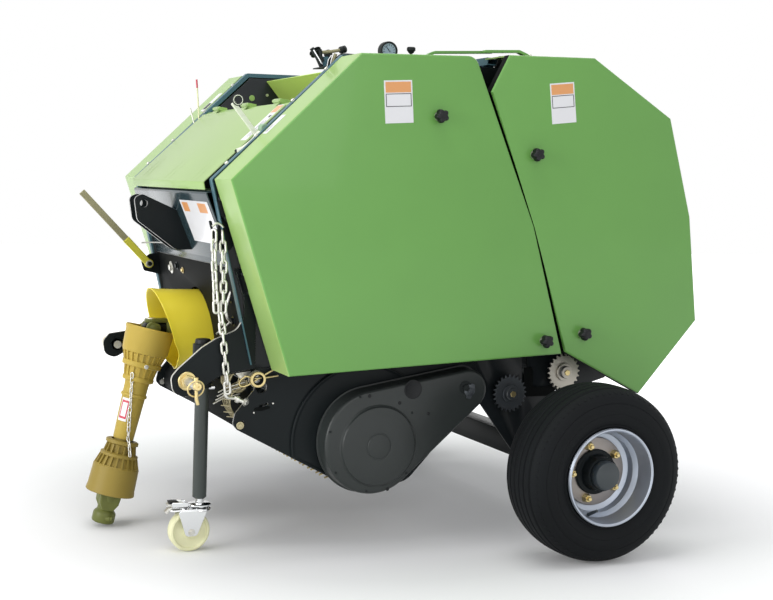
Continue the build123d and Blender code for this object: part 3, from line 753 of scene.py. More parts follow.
LID_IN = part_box("twine_lid")[1].x / MM
LID_AXIS = (-481, 1097)
LID_FOLD_Z = 893            # below it is the lid's front lip
lid = [folded([(-687.5, 875), (-691.5, LID_FOLD_Z), (-492, 1082.3)], 2.6, -LID_IN, LID_IN, 5)]
for face in lid[0].polygons:
    face.material_index = 1 if face.center.z < LID_FOLD_Z * MM else 0
for x in (-250, 0, 250):
    knuckle = [(0, 3.2), (0, 4.9), (0.6, 5.5), (39.4, 5.5), (40, 4.9), (40, 3.2)]
    lid.append(lathe(knuckle, spot(x - 20, *LID_AXIS), TO_LEFT, 24, closed=True))
    lid.append(folded([(-493, 1081.4), (-486, 1088), (-481, 1092.6)], 2.6, x - 20, x + 20, 2))
# paler green than the covers' paint: painted glare on the lid's top
LID_PAINTED_GLARE = finish("lid_green_painted_glare", (0.355, 0.49, 0.21), 0.42, coat=0.1, spec=0.3, grain=90, bump=0.05, vary=0.04)
piece("lid_panel", joined(lid), [LID_PAINTED_GLARE, LIME_PAINTED_SUNLIGHT], "twine_lid", ["twine_lid"])

# lid hinge bar with its three pins
hinge = [folded([(-490, 1077.5), (-476, 1088.5), (-436, 1097)], 3, -350, 350)]
for x in (-250, 0, 250):
    hinge.append(lathe([(0, 0), (0, 2.6), (0.5, 3), (55.5, 3), (56, 2.6), (56, 0)], spot(x - 28, *LID_AXIS),
                       TO_LEFT, 16))
    for dx in (-29, 21):
        lug = [(-486, 1095, 3), (-484, 1102, 4), (-460, 1099), (-460, 1093), (-476, 1090)]
        hinge.append(side_plate(lug, x + dx, x + dx + 8, radius=1))
piece("lid_hinge_bar", joined(hinge), LIME_PAINTED_SUNLIGHT, "frame", ["lid_hinge"])

# glossy panel over the shaft guard
panel = [folded([(-656, 869.5), (-687.5, 869.5), (-618.5, 706), (-618.5, 692)], 3, -350, 350, 5)]
piece("front_panel_sheet", joined(panel), SLATE, "frame", ["front_panel"])

lower = refined("lower_sheet", 0.6)
piece("lower_sheet_plate", lower, MATTE_BLACK_AND_PAINTED_SHADE, "frame", ["lower_sheet"])
# its bright upper edge
piece("lower_sheet_edge", side_plate([(-618.6, 690.4), (-617.4, 692.6), (-613.6, 692.6), (-613.4, 690.4)],
                                     -340, 350, edge=0.5),
      STEEL, "frame")


def on_sheet(x, z):
    """A place on the lower sheet's front face."""
    return spot(x, -617 + (690 - z) * 40 / 238, z)


SHEET_OUT = Vector((0, -238, -40)).normalized()
for n, (x, z, r, mat) in enumerate(((-214, 655, 9, ZINC), (-152, 664, 7, BLACK), (-100, 655, 5.5, GOLD),
                                    (300, 616, 8, BLACK), (300, 560, 8, BLACK), (-300, 480, 7, BLACK))):
    piece("sheet_bolt_%d" % n, bolt(on_sheet(x, z), SHEET_OUT, r, 1.9 if n == 0 else 1.6), mat, "frame")

# top link bracket: two plates with rounded heads, bright along the cut edge
LINK_AT = (-754, 833)
bracket = []
HEAD = [(-758, 857, 12), (-676, 822, 20), (-616, 800), (-616, 718), (-668, 716, 30), (-770, 790, 20),
        (-779, 848, 18)]
for x in (-31, 23):
    plate_mesh = side_plate(HEAD, x, x + 8, [ring(*LINK_AT, 10)], edge=0.8, radius=2, steps=8)
    bracket.append(edge_tint(plate_mesh, 0, 1))
    for face in (0, 1):
        at, way = (x, -1) if face == 0 else (x + 8, 1)
        bracket.append(tube(0, 1.2, 10, 15.5, spot(at, *LINK_AT), (way, 0, 0), 32))
bracket.append(side_plate([(-690, 790, 4), (-620, 760), (-620, 730), (-668, 724, 8)], -23, 23, edge=1))
piece("top_link_plates", joined(bracket), [BLACK, STEEL], "frame", ["top_link_bracket"])

# blank label on the panel with two orange blocks at its head
fold_a, fold_b = Vector((-687.5, 869.5)), Vector((-618.5, 706))


def on_panel(x, z, lift=2.2):
    """A place on the front panel's face, lifted off it by lift mm."""
    share = (869.5 - z) / 163.5
    y = fold_a.x + (fold_b.x - fold_a.x) * share
    normal = Vector((-163.5, -69.0)).normalized() * lift
    return spot(x, y + normal.x, z + normal.y)


corner = on_panel(95, 847)
label("panel_label", "frame", corner, on_panel(335, 847) - corner, on_panel(95, 745) - corner,
      [(0.06, 0.05, 0.27, 0.27, 1), (0.62, 0.05, 0.90, 0.27, 1)], Vector((0, -1, -0.4)))

# ---- lever with its bent rod ---------------------------------------------------------
lever_a, lever_b = Vector((-645, 657)), Vector((-837, 854))
run = (lever_b - lever_a).normalized()
out_way = Vector((-run.y, run.x))


def on_lever(reach, off=0.0):
    """A (y, z) place along the lever from its pivot, and off its middle line."""
    p = lever_a + run * reach + out_way * off
    return p.x, p.y


def lever_bar(r0, r1, half, x0, x1, edge=1.5):
    """A flat stretch of the lever from reach r0 to r1, half wide to each side."""
    corners = [on_lever(r0, -half), on_lever(r1, -half), on_lever(r1, half), on_lever(r0, half)]
    return side_plate(corners, x0, x1, edge=edge, radius=1.5)


lever_parts = [
    (1, lever_bar(86, 275, 9, -335, -327)),
    lever_bar(-6, 96, 10, -336.5, -325.5, 2.5),
    tube(0, 10, 6.2, 12, spot(-336, *lever_a), TO_LEFT, 28),
    (2, bolt(spot(-326, *lever_a), TO_LEFT, 6, 1.6)),
]
LEVER_YELLOW = finish("lever_yellow", (0.66, 0.62, 0.06), 0.45, grain=220, bump=0.12, vary=0.10)
piece("lever_bar", joined(lever_parts), [LEVER_YELLOW, STONE, ZINC], "lever", ["lever"])
# stay rod from the lever's lug, and the lug itself
lugs = [side_plate([(-578, 620), (-578, 690), (-640, 684, 8), (-664, 664, 10), (-655, 636, 8)], -350, -342,
                   edge=0.8, radius=2),
        cylinder(0, 26, 6, spot(-342, *lever_a), TO_LEFT, 20)]
piece("lever_lug", joined(lugs), BLACK, "frame")
piece("stay_wire", bent([(-322, -668, 716), (-280, -650, 721), (-205, -622, 722)], 2.0), STEEL, "frame")

# ---- hitch plates, black with a bright cut edge -----------------------------------
HITCH_AT = (-728, 427)
HITCH = [
    (-618, 692, 3), (-609, 670), (-593, 622, 12), (-590, 578, 30), (-608, 546, 30), (-660, 525), (-693, 505),
    (-748, 457, 10), (-766, 436, 22), (-760, 398, 24), (-730, 388, 22), (-640, 440, 20),
    (-560, 452), (-562, 612), (-585, 692),
]
for side_name, flip in (("left", 1), ("right", -1)):
    # the right one is slimmer
    slim = HITCH[:4] + [(-606, 548, 12), (-640, 492, 20), (-700, 464, 20)] + HITCH[7:]
    outline = HITCH if flip > 0 else slim
    hole = ring(*HITCH_AT, 11)
    mesh = side_plate(outline, WALL_OUT, WALL_OUT + 10, [hole], edge=0.9, radius=4, steps=7)
    mesh = edge_tint(mesh, 0, 1)
    if flip < 0:
        mesh = moved(mesh, MIRROR)
    piece("hitch_plate_" + side_name, mesh, [BLACK, ZINC], "frame",
          ["hitch_plates"] if flip > 0 else [])
    at = spot(flip * (WALL_OUT + 10), *HITCH_AT)
    out = (flip, 0, 0)
    pin = [
        (1, lathe([(0, 0), (0, 21), (1.5, 22), (5, 22), (6, 21), (6, 0)], at, out, 40)),
        (1, lathe([(5, 0), (5, 17), (12, 17), (14, 15), (14, 0)], at, out, 6)),
        cylinder(10, 88, 11, at, out, 32),
        (1, lathe([(87, 0), (87, 10.9), (89, 10.9), (94, 8), (94, 3), (91, 2.6), (91, 0)], at, out, 32)),
        cylinder(-30, -10, 11, at, out, 32),
        (1, lathe([(0, 17), (0, 0), (-16, 0), (-16, 17)], at - Vector(out) * 10 * MM, out, 6)),
    ]
    # linch pin: a spring ring through the pin's end
    tip = at + Vector(out) * 76 * MM
    ring_points = []
    for t in [2 * pi * k / 24 for k in range(24)]:
        sideways = Vector((flip * 6 * MM * cos(t), 0.0, 0))
        ring_points.append(tip + sideways + Vector((0, sin(t) * 19, cos(t) * 19 - 7)) * MM)
    pin.append((1, wire(ring_points, 2.1, closed=True)))
    pin.append((1, wire([tip + Vector((0, 0, 14)) * MM, tip + Vector((0, 2, -30)) * MM,
                         tip + Vector((0, 6, -44)) * MM], 4.2)))
    pin.append((1, cylinder(0, 8, 5.5, tip + Vector((0, 0, 11)) * MM, UPWARD, 16)))
    piece("hitch_pin_" + side_name, joined(pin), [ZINC, GOLD], "frame",
          ["hitch_pins"] if flip > 0 else [])

# ---- lift chain on its hook -----------------------------------------------------------
hook_plate = [(-682, 803, 3), (-675, 803, 3), (-671, 780, 4), (-661, 780, 4), (-658, 803, 3),
              (-645, 805, 6), (-608, 764, 12), (-630, 733, 12), (-662, 734, 10), (-670, 760, 6)]
piece("chain_hook", side_plate(hook_plate, WALL_OUT, WALL_OUT + 6, edge=0.8, radius=2), BLACK, "frame",
      ["wall_lugs"])


def chain_link(middle, along_way, flat_way, length, width, r, steps=8):
    """One oval link: along_way is its long axis and flat_way the way it is wide."""
    along_way, flat_way = along_way.normalized(), flat_way.normalized()
    points = []
    half = length / 2 - width / 2
    for end in (1, -1):
        for k in range(steps + 1):
            a = pi * k / steps
            offset = along_way * (half + width / 2 * sin(a)) + flat_way * width / 2 * cos(a)
            points.append(middle + offset * end * MM)
    return wire(points, r, closed=True, sides=2)


def chain(points, length, width, r, turn=0.0):
    """Links along a line of points, each turned a quarter from the last."""
    pitch = length - 2 * r
    lengths = [(b - a).length / MM for a, b in zip(points, points[1:])]
    total = sum(lengths)
    count = max(2, round(total / pitch))
    links = []
    for k in range(count):
        want = (k + 0.5) * total / count
        for a, b, run_length in zip(points, points[1:], lengths):
            if want <= run_length:
                break
            want -= run_length
        way = (b - a).normalized()
        middle = a + way * want * MM
        flat = way.cross(Vector((0.4, -0.9, 0.1))).normalized()
        if k % 2:
            flat = way.cross(flat)
        flat = Matrix.Rotation(turn + 0.25 * ((k * 37) % 5 - 2) / 2, 3, way) @ flat
        links.append(chain_link(middle, way, flat, length, width, r))
    return joined(links)


CX = WALL_OUT + 14
chain_parts = [
    chain([spot(CX, -672, 780), spot(CX + 4, -671, 700), spot(CX + 2, -662, 590)], 30, 13, 3.1),
    chain([spot(CX + 1, -652, 778), spot(CX + 6, -648, 700), spot(CX + 3, -645, 590)], 30, 13, 3.1, 0.9),
    chain([spot(CX + 2, -652, 586), spot(CX + 6, -646, 540), spot(CX + 8, -631, 398)], 30, 13, 3.1, 0.4),
    bent([(CX, -676, 790), (CX + 1, -664, 806), (CX + 1, -650, 788)], 3.0),
]
piece("lift_chain", joined(chain_parts), ZINC, "frame")
# shackle and bolt at the chain's foot
piece("chain_shackle", joined([
    bent([(CX + 4, -636, 396), (CX + 6, -634, 386), (CX + 2, -622, 384), (CX, -606, 382)], 4.0),
    straight([(CX, -612, 386), (CX + 2, -600, 378), (CX + 4, -588, 374)], 5.0),
    lathe([(-4, 4), (-4, 8), (0, 9), (4, 8), (4, 4)], spot(CX + 1, -604, 380), (0.1, 0.9, -0.4), 20,
          closed=True),
    bolt(spot(CX + 6, -586, 374), (0.8, 0.5, -0.2), 7.0, 1.5),
    cylinder(-16, 4, 4, spot(CX + 6, -586, 374), (0.8, 0.5, -0.2), 16),
]), ZINC, "frame")
# bright safety hook behind the chain
piece("spring_hook", joined([
    bent([(300, -600, 640), (304, -612, 612), (306, -618, 585), (304, -610, 562), (300, -598, 556)], 4.5),
    bent([(296, -600, 560), (300, -622, 540), (306, -640, 530)], 2.5),
]), ZINC, "frame")


# ---- shaft guard: a slanting yellow bucket with a flared lip ---------------------------
PTO_Y, PTO_Z = -722, 510      # the drive shaft's first joint
PTO = spot(0, PTO_Y, PTO_Z)
GUARD_BACK = -560.0
GUARD_ROOT = spot(0, GUARD_BACK, PTO_Z)


def guard_mesh():
    """The guard's skin, with a slanting, scalloped mouth."""
    count = 96
    stations = [0.0, 0.05, 0.35, 0.65, 0.86, 0.94, 0.98, 1.0]
    flare = [0.0, 0.0, 0.0, 0.4, 1.4, 2.6, 3.6, 4.2]
    work = bmesh.new()

    def skin(r_base):
        """Rows of corners from the back to the mouth."""
        rows = []
        for share, extra in zip(stations, flare):
            row = []
            for k in range(count):
                a = 2 * pi * k / count
                r = r_base + extra - 3.5
                x, dz = r * cos(a), r * sin(a)
                scallop = 5 * max(0.0, cos(5 * (a + radians(104)))) * (1 if sin(a) < -0.3 else 0)
                mouth = -734 + (640 - (PTO_Z + dz)) * 78 / 250 + scallop
                y = GUARD_BACK + (mouth - GUARD_BACK) * share
                row.append(work.verts.new(spot(x, y, PTO_Z + dz)))
            rows.append(row)
        return rows

    outer, inner = skin(105.5), skin(102.5)
    for rows, flip in ((outer, 1), (inner, -1)):
        for low, high in zip(rows, rows[1:]):
            for k in range(count):
                j = (k + 1) % count
                work.faces.new((low[k], low[j], high[j], high[k])[::flip])
    for end in (0, -1):
        skirt(work, outer[end], inner[end])
    mesh = finished(work, "guard")
    return bevelled(mesh, 1.0 * MM, 2, 50)


back_plate = tube(0, 3, 42, 101, GUARD_ROOT, FORWARD, 64)
bead = lathe([(2, 101), (2, 104.5), (5, 105.5), (10, 104.5), (10, 101)], GUARD_ROOT, FORWARD, 96, closed=True)
guard_bolts = [bolt(spot(70 * cos(a), GUARD_BACK - 3, PTO_Z + 70 * sin(a)), FORWARD, 6)
               for a in (0.8, 2.3, 3.9, 5.5)]
piece("shaft_guard", joined([guard_mesh(), back_plate, bead] + [(1, head) for head in guard_bolts]),
      [YELLOW, ZINC], "frame", ["pto_guard"])

# gearbox with its nose, input yoke and cross
box_mesh = (0, refined("gearbox", 2.0))
GEAR_PARTS = []
nose = lathe([(0, 40), (0, 46), (3, 48), (10, 48), (12, 44), (14, 30), (14, 20)], GUARD_ROOT, FORWARD, 48)
hub = lathe([(0, 18), (0, 25), (4, 27), (44, 27), (52, 26), (60, 23), (60, 12)], spot(0, -624, PTO_Z),
            FORWARD, 40)
for sz in (1, -1):
    ear = sheet_shape([rounded([(-16, -44, 4), (16, -44, 4), (17, 0, 6), (12, 15, 8), (-12, 15, 8),
                                (-17, 0, 6)], 4)], 10, 1.5)
    ear.transform(Matrix.Translation(spot(0, PTO_Y, PTO_Z + sz * 21 - 5)) @ Matrix.Rotation(pi, 4, "X")
                  @ Matrix.Translation((0, 0, -0.010)))
    GEAR_PARTS.append((1, ear))
    GEAR_PARTS.append((2, cylinder(0, 3, 12, spot(0, PTO_Y, PTO_Z + sz * 25), (0, 0, sz), 20)))
GEAR_PARTS += [nose, (1, hub), (2, cylinder(0, 68, 8, spot(-34, PTO_Y, PTO_Z), TO_LEFT, 24)),
               (2, cylinder(0, 50, 8, spot(0, PTO_Y, PTO_Z - 25), UPWARD, 24))]
# cover bolts round the nose
for n in range(6):
    a = pi * n / 3 + 0.3
    GEAR_PARTS.append((2, bolt(spot(38 * cos(a), GUARD_BACK - 12, PTO_Z + 38 * sin(a)), FORWARD, 4.5, 1.4)))
piece("gearbox_housing", joined([box_mesh] + GEAR_PARTS), [BLACK, OLIVE, ZINC], "frame", ["gearbox"])

# ---- drive shaft guards, hanging from the first joint ---------------------------------
HANG = radians(-103.1)
DOWN = Vector((0, cos(HANG), sin(HANG)))
ASIDE = Vector((0, -DOWN.z, DOWN.y))          # square to the shaft, towards the machine


def shaft_lathe(rows, count=64, closed=False):
    """A mesh turned round the shaft: rows are (reach from the first joint, radius)."""
    return lathe(rows, PTO, DOWN, count, closed)


def ribs(reach0, r0, reach1, r1, deep, number, thick=3.0, half_turn=0.0):
    """Thin ribs round the shaft from one ring to another."""
    work = bmesh.new()
    for k in range(number):
        a = 2 * pi * k / number + half_turn
        out = Vector((cos(a), 0, 0)) + ASIDE * sin(a)
        side_way = DOWN.cross(out)
        corners = []
        for reach, r in ((reach0, r0), (reach1, r1)):
            for rr in (r - deep, r):
                for s in (-1, 1):
                    aside = side_way * s * thick / 2 * MM
                    corners.append(work.verts.new(PTO + DOWN * reach * MM + out * rr * MM + aside))
        a0, a1, a2, a3, b0, b1, b2, b3 = corners
        for face in ((a0, a1, a3, a2), (b0, b1, b3, b2), (a0, a1, b1, b0), (a2, a3, b3, b2),
                     (a0, a2, b2, b0), (a1, a3, b3, b1)):
            work.faces.new(face)
    mesh = finished(work, "ribs")
    return mesh


upper = [
    # open cup with a rolled lip
    shaft_lathe([(0, 59.5), (-2, 62), (0, 64), (5, 63.5), (9, 62), (60, 59), (66, 56), (68, 50), (68, 44),
                 (65, 44), (64, 50), (60, 55.5), (9, 59)], closed=True, count=80),
    ribs(62, 57.5, 90, 49, 6, 22, 4.0),
    shaft_lathe([(68, 52), (90, 45), (90, 42), (68, 48)], closed=True),
    shaft_lathe([(88, 42), (88, 49.5), (91, 51), (100, 50), (102, 47), (102, 38)], closed=True),
    ribs(100, 44, 128, 39, 5, 16, 3.0, 0.1),
    shaft_lathe([(100, 40), (126, 37), (128, 39.5), (132, 41), (138, 40), (140, 37), (140, 30), (100, 30)],
                closed=True),
    # slim outer tube with shallow rings
    shaft_lathe([(100, 26), (100, 32), (140, 32), (150, 31), (172, 30.5), (174, 33.5), (180, 33.5),
                 (182, 30), (290, 26.5), (292, 26), (292, 24), (140, 24)], closed=True),
]
yoke_parts = []
for s in (1, -1):
    # forged ears round the cross pin
    ear = sheet_shape([rounded([(-17, -18, 12), (17, -18, 12), (19, 10, 6), (17, 40, 2), (-17, 40, 2),
                                (-19, 10, 6)], 4)], 12, 2)
    basis = Matrix(((0, 0, 1, 0), (ASIDE.y, DOWN.y, 0, 0), (ASIDE.z, DOWN.z, 0, 0), (0, 0, 0, 1)))
    ear.transform(Matrix.Translation(PTO + Vector((20 if s > 0 else -32, 0, 0)) * MM) @ basis)
    yoke_parts.append(ear)
    yoke_parts.append(lathe([(0, 0), (0, 13), (4, 13), (5, 11), (5, 0)], PTO + Vector((s * 30, 0, 0)) * MM,
                            (s, 0, 0), 24))
yoke_parts.append(shaft_lathe([(28, 20), (28, 34), (32, 36), (42, 36), (48, 30), (57, 28), (57, 18)],
                              closed=True))
bell_bolt = bolt(PTO + DOWN * 96 * MM + Vector((50, 0, 0)) * MM, TO_LEFT, 4, 1.4)
piece("shaft_bell_upper", joined(upper + [(1, mesh) for mesh in yoke_parts] + [(2, bell_bolt)]),
      [MUSTARD, OLIVE, ZINC], "shaft_upper", ["shaft_upper"])

lower_bell = [
    shaft_lathe([(130, 20), (130, 23), (368, 23), (368, 20)], closed=True),
    shaft_lathe([(366, 20), (366, 50), (370, 50), (370, 20)], closed=True),
    # collar, ribbed cone and open cup, mouth down
    shaft_lathe([(296, 30), (296, 38), (298, 42), (305, 42), (307, 38), (308, 34), (330, 34), (330, 30)],
                closed=True),
    ribs(308, 38, 332, 43, 6, 16, 3.0),
    shaft_lathe([(328, 34), (330, 45), (332, 48.5), (338, 48.5), (340, 46), (340, 34)], closed=True),
    ribs(338, 49, 366, 58.5, 6, 22, 4.0),
    shaft_lathe([(338, 43), (364, 52), (366, 48), (340, 39)], closed=True),
    shaft_lathe([(362, 48), (362, 56), (366, 59), (420, 61), (428, 62.5), (434, 63), (436, 61), (434, 58.5),
                 (370, 56), (366, 53), (365, 48)], closed=True, count=80),
]
end_yoke = [
    shaft_lathe([(330, 10), (330, 22), (410, 22), (424, 27), (440, 29), (456, 27), (468, 22), (480, 22),
                 (487, 28), (491, 29), (509, 29),
                 (513, 27), (515, 23), (515, 17.6), (467, 17.6), (467, 10)], closed=True, count=48),
    lathe([(0, 0), (0, 7.5), (12, 7.5), (14, 6), (18, 6), (19, 4.5), (19, 0)], PTO + DOWN * 500 * MM
          + Vector((22, 0, 0)) * MM,
          (0.5, 0.86, 0), 20),
]
for s in (1, -1):
    ear = sheet_shape([rounded([(-17, 412, 8), (17, 412, 8), (27, 444, 14), (25, 462, 10), (14, 480, 6),
                                (-14, 480, 6), (-25, 462, 10), (-27, 444, 14)], 4)], 14, 3)
    ear.transform(Matrix.Translation(PTO + Vector((12 if s > 0 else -26, 0, 0)) * MM) @ basis)
    end_yoke.append(ear)
splines = ribs(467, 17.6, 514, 17.6, 1.8, 6, 4.0)
# the lower bell takes the darker mustard as painted shade
piece("shaft_bell_lower", joined(lower_bell + [(1, mesh) for mesh in end_yoke + [splines]]),
      [MUSTARD_PAINTED_SHADE, OLIVE], "shaft_lower", ["shaft_lower"])


def wrap_label(name, body, reach0, reach1, r0, r1, middle, spread):
    """A blank label bent round the shaft with a red border."""
    work = bmesh.new()
    columns, rows = 14, 10
    grid = []
    for i in range(rows + 1):
        share = i / rows
        r = r0 + (r1 - r0) * share + 0.5
        line = []
        for k in range(columns + 1):
            a = middle + (k / columns - 0.5) * spread
            out = Vector((cos(a), 0, 0)) + ASIDE * sin(a)
            line.append(work.verts.new(PTO + DOWN * (reach0 + (reach1 - reach0) * share) * MM + out * r * MM))
        grid.append(line)
    for i in range(rows):
        for k in range(columns):
            face = work.faces.new((grid[i][k], grid[i][k + 1], grid[i + 1][k + 1], grid[i + 1][k]))
            border = (i in (1, rows - 2) and 0 < k < columns - 1
                      or k in (1, 2, columns - 2, columns - 3) and 0 < i < rows - 1)
            face.material_index = 1 if border and not (2 < k < columns - 3 and 1 < i < rows - 2) else 0
    mesh = finished(work, name)
    piece(name, thickened(mesh, 0.0004, 1), [PAPER, RED], body)


wrap_label("shaft_label", "shaft_upper", 186, 246, 29.9, 28, radians(-48), radians(50))

# fine safety chain down the shaft, from the upper bell to the lower one's collar
chain_points = [PTO + (DOWN * reach + (Vector((cos(radians(a)), 0, 0)) + ASIDE * sin(radians(a))) * r) * MM
                for reach, r, a in ((120, 42, -40), (150, 38, -33), (200, 36, -20), (250, 35, -6),
                                    (285, 37, 4), (300, 46, 9), (328, 52, 17))]
safety = chain(chain_points, 16, 8, 1.5)
safety_piece = piece("safety_chain", safety, ZINC, None)
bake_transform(safety_piece)


PALE_BRASS = finish("pale_brass", (0.50, 0.44, 0.26), 0.40, metal=0.5, grain=220, bump=0.06, vary=0.18)
# ---- chain case: a pressed teardrop with a raised boss ---------------------------------
BIG, SMALL = (-265.0, 269.0, 131.0), (-8.0, 391.0, 54.0)
GUARD_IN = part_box("chain_guard")[0].x / MM
GUARD_OUT = GUARD_IN + 50


def teardrop(d, steps=48):
    """The outline round the two ends, drawn in by d."""
    (y0, z0, r0), (y1, z1, r1) = BIG, SMALL
    r0, r1 = r0 - d, r1 - d
    run = Vector((y1 - y0, z1 - z0))
    base = math.atan2(run.y, run.x)
    lean = math.acos((r0 - r1) / run.length)
    points = []
    for k in range(steps // 3 + 1):
        a = base - lean + 2 * lean * k / (steps // 3)
        points.append((y1 + r1 * cos(a), z1 + r1 * sin(a)))
    for k in range(steps + 1):
        a = base + lean + (2 * pi - 2 * lean) * k / steps
        points.append((y0 + r0 * cos(a), z0 + r0 * sin(a)))
    return points


def loft(rows, x_of):
    """Skins outlines with equal counts, each at its own x; the last one is closed with a face."""
    work = bmesh.new()
    grid = [[work.verts.new(spot(x, y, z)) for y, z in line] for x, line in zip(x_of, rows)]
    for low, high in zip(grid, grid[1:]):
        skirt(work, low, high)
    work.faces.new(grid[-1])
    bmesh.ops.recalc_face_normals(work, faces=work.faces)
    if sum(face.normal.x * face.calc_area() for face in work.faces) < 0:
        bmesh.ops.reverse_faces(work, faces=work.faces)
    mesh = finished(work, "loft", False)
    return mesh


case_rows, case_x = [], []
for x, d in [(GUARD_IN, -3.5), (GUARD_IN + 2.5, -3.5), (GUARD_IN + 3, -0.5), (GUARD_IN + 6, 0.4),
             (GUARD_OUT - 9, 1.6)] + [
    (GUARD_OUT - 9 + 9 * sin(radians(18 * k)), 1.6 + 9 * (1 - cos(radians(18 * k)))) for k in range(1, 6)
]:
    case_rows.append(teardrop(d))
    case_x.append(x)
case = loft(case_rows, case_x)
case = thickened(case, 2.5 * MM)
smooth(case, 50)
REEL = (-255.0, 260.0)
CASE = finish("case_paint", (0.028, 0.033, 0.032), 0.36, spec=0.35, grain=200, bump=0.08, vary=0.14)
case_parts = [
    case,
    # boss with rounded shoulder, a pressed ring and its cap
    lathe([(-1, 103), (0, 103), (1.5, 101), (3, 99), (6, 98), (8, 96.5), (8.6, 93), (8.6, 34), (7.8, 33),
           (7.8, 31), (8.8, 30), (9.2, 28), (9.2, 0)], spot(GUARD_OUT, *REEL), TO_LEFT, 96),
    # rubber plug
    (1, lathe([(-0.5, 0), (-0.5, 24), (0.8, 24), (1.2, 22), (0.8, 21), (0.8, 0)],
              spot(GUARD_OUT, -165, 398), TO_LEFT, 40)),
    (2, bolt(spot(GUARD_OUT, -18, 398), TO_LEFT, 9, 1.9)),
]
for y, z in ((-200, 365), (-120, 335), (-225, 150), (-282, 385)):
    case_parts.append((1, lathe([(0, 0), (0, 4.5), (1.4, 3.6), (1.8, 0)], spot(GUARD_OUT, y, z), TO_LEFT,
                                16)))
piece("chain_case", joined(case_parts), [CASE, PLASTIC, SATIN], "frame", ["chain_guard"])

# big round shields behind it, with a rolled rim, cut off in line with the plates' lower edges
SHIELD, SHIELD_R = (-274.0, 268.0), 190.0


def shield_outline(d):
    """The shield's round outline drawn in by d, down to the line of the plate's edge."""
    points = []
    for y, z in ring(*SHIELD, SHIELD_R - d, 120):
        # the cut runs along the front plate's edge, then up behind the chain case
        if y < -240:
            # the plate's corners: (-600, 304), (-381, 188), (-300, 145), (-240, 134)
            if y <= -381:
                low = 304 - (y + 600) * 116 / 219
            elif y < -300:
                low = 188 - (y + 381) * 43 / 81
            else:
                low = 145 - (y + 300) * 11 / 60
        else:
            low = 134 + (y + 240) * 218 / 280
        points.append((y, max(z, low + d)))
    return points


disc_rows = [shield_outline(d) for d in (0, 0, 0.6, 2.5, 5, 8, 11)]
disc_x = [WALL_OUT + x for x in (6, 11, 13, 14, 13.5, 12, 11.4)]
shield = loft(disc_rows, disc_x)
smooth(shield, 50)
piece("pickup_shields", joined([shield, moved(shield, MIRROR)]), BLACK, "frame", ["pickup_discs"])
# the right side has its own bearing cover
right_parts = [
    lathe([(14, 0), (14, 64), (18, 64), (22, 60), (22, 34), (34, 30), (36, 26), (36, 0)],
          spot(-WALL_OUT, *REEL), (-1, 0, 0), 64),
]
for k in range(4):
    a = pi / 4 + k * pi / 2
    right_parts.append((1, bolt(spot(-WALL_OUT - 20, REEL[0] + 48 * cos(a), REEL[1] + 48 * sin(a)),
                                (-1, 0, 0), 6.5)))
piece("reel_bearing_right", joined(right_parts), [SATIN, ZINC], "frame")

# pickup side plates: rounded corners, slots and a bright cut edge below
SIDE = [(-612, 318, 14), (-600, 304, 10), (-381, 188), (-300, 150, 40), (-150, 150, 60), (40, 352, 10),
        (40, 452, 4), (-60, 452), (-560, 452, 10), (-560, 400, 6), (-606, 345, 14)]


def slot_hole(y, z, length, width, lean):
    """A slot's outline round its middle, leaning by degrees."""
    c, s = cos(radians(lean)), sin(radians(lean))
    points = []
    for sign in (1, -1):
        for k in range(9):
            a = -pi / 2 + pi * k / 8 + (0 if sign > 0 else pi)
            u = sign * (length - width) / 2 + width / 2 * cos(a)
            v = width / 2 * sin(a)
            points.append((y + u * c - v * s, z + u * s + v * c))
    return points


for side_name, flip in (("left", 1), ("right", -1)):
    holes = [ring(*REEL, 15), ring(-542, 405, 14), slot_hole(-588, 318, 16, 9, 62),
             slot_hole(-425, 222, 17, 9, -28), slot_hole(-535, 362, 24, 7, 18)]
    mesh = edge_tint(side_plate(SIDE, WALL_OUT, WALL_OUT + 6, holes, edge=0.8, radius=4, steps=6), 0, 1)
    if flip < 0:
        mesh = moved(mesh, MIRROR)
    piece("pickup_plate_" + side_name, mesh, [BLACK, STEEL], "frame",
          ["pickup_frame"] if flip > 0 else [])
piece("pickup_nose", refined("pickup_sheet", 0.8), MATTE_BLACK_AND_PAINTED_SHADE, "frame", ["pickup_sheet"])

# round tube stubs over the pickup with washers and spring pins; their ends are open
BAR = (-556, 427)
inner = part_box("pto_guard")[1].x / MM + 11
bar = []
for flip in (1, -1):
    x, out = flip * WALL_OUT, (flip, 0, 0)
    bar.append(lathe([(inner - WALL_OUT, 0), (inner - WALL_OUT, 13), (inner - WALL_OUT + 1, 14), (23, 14),
                      (24, 13.5), (24, 10.5), (8, 10.5), (8, 0)],
                     spot(x, *BAR), out, 40))
    bar.append((1, lathe([(6, 14), (6, 20), (9, 20), (9, 14)], spot(x, *BAR), out, 36)))
    bar.append((2, lathe([(18, 13.8), (18, 19.5), (21, 20), (24, 18.5), (24.6, 15), (24.2, 13.2),
                          (20, 13.2)], spot(x, *BAR), out, 36, closed=True)))
    pins = (
        [(13, -28, 8), (13, -46, -2), (13, -42, -18), (14, -26, -16), (15, -6, -4), (15, 22, 12),
         (16, 44, 24)],
        [(13, -28, 8), (14, -20, 6), (15, -10, 2), (16, 4, 2), (16, 28, 4), (17, 52, 8)],
    )
    for pin in pins:
        bar.append((2, bent([(x + flip * a, BAR[0] + b, BAR[1] + c) for a, b, c in pin], 2.2)))
piece("crop_bar_pins", joined(bar), [MATTE_BLACK_AND_PAINTED_SHADE, ZINC, GOLD], "frame", ["crop_bar"])

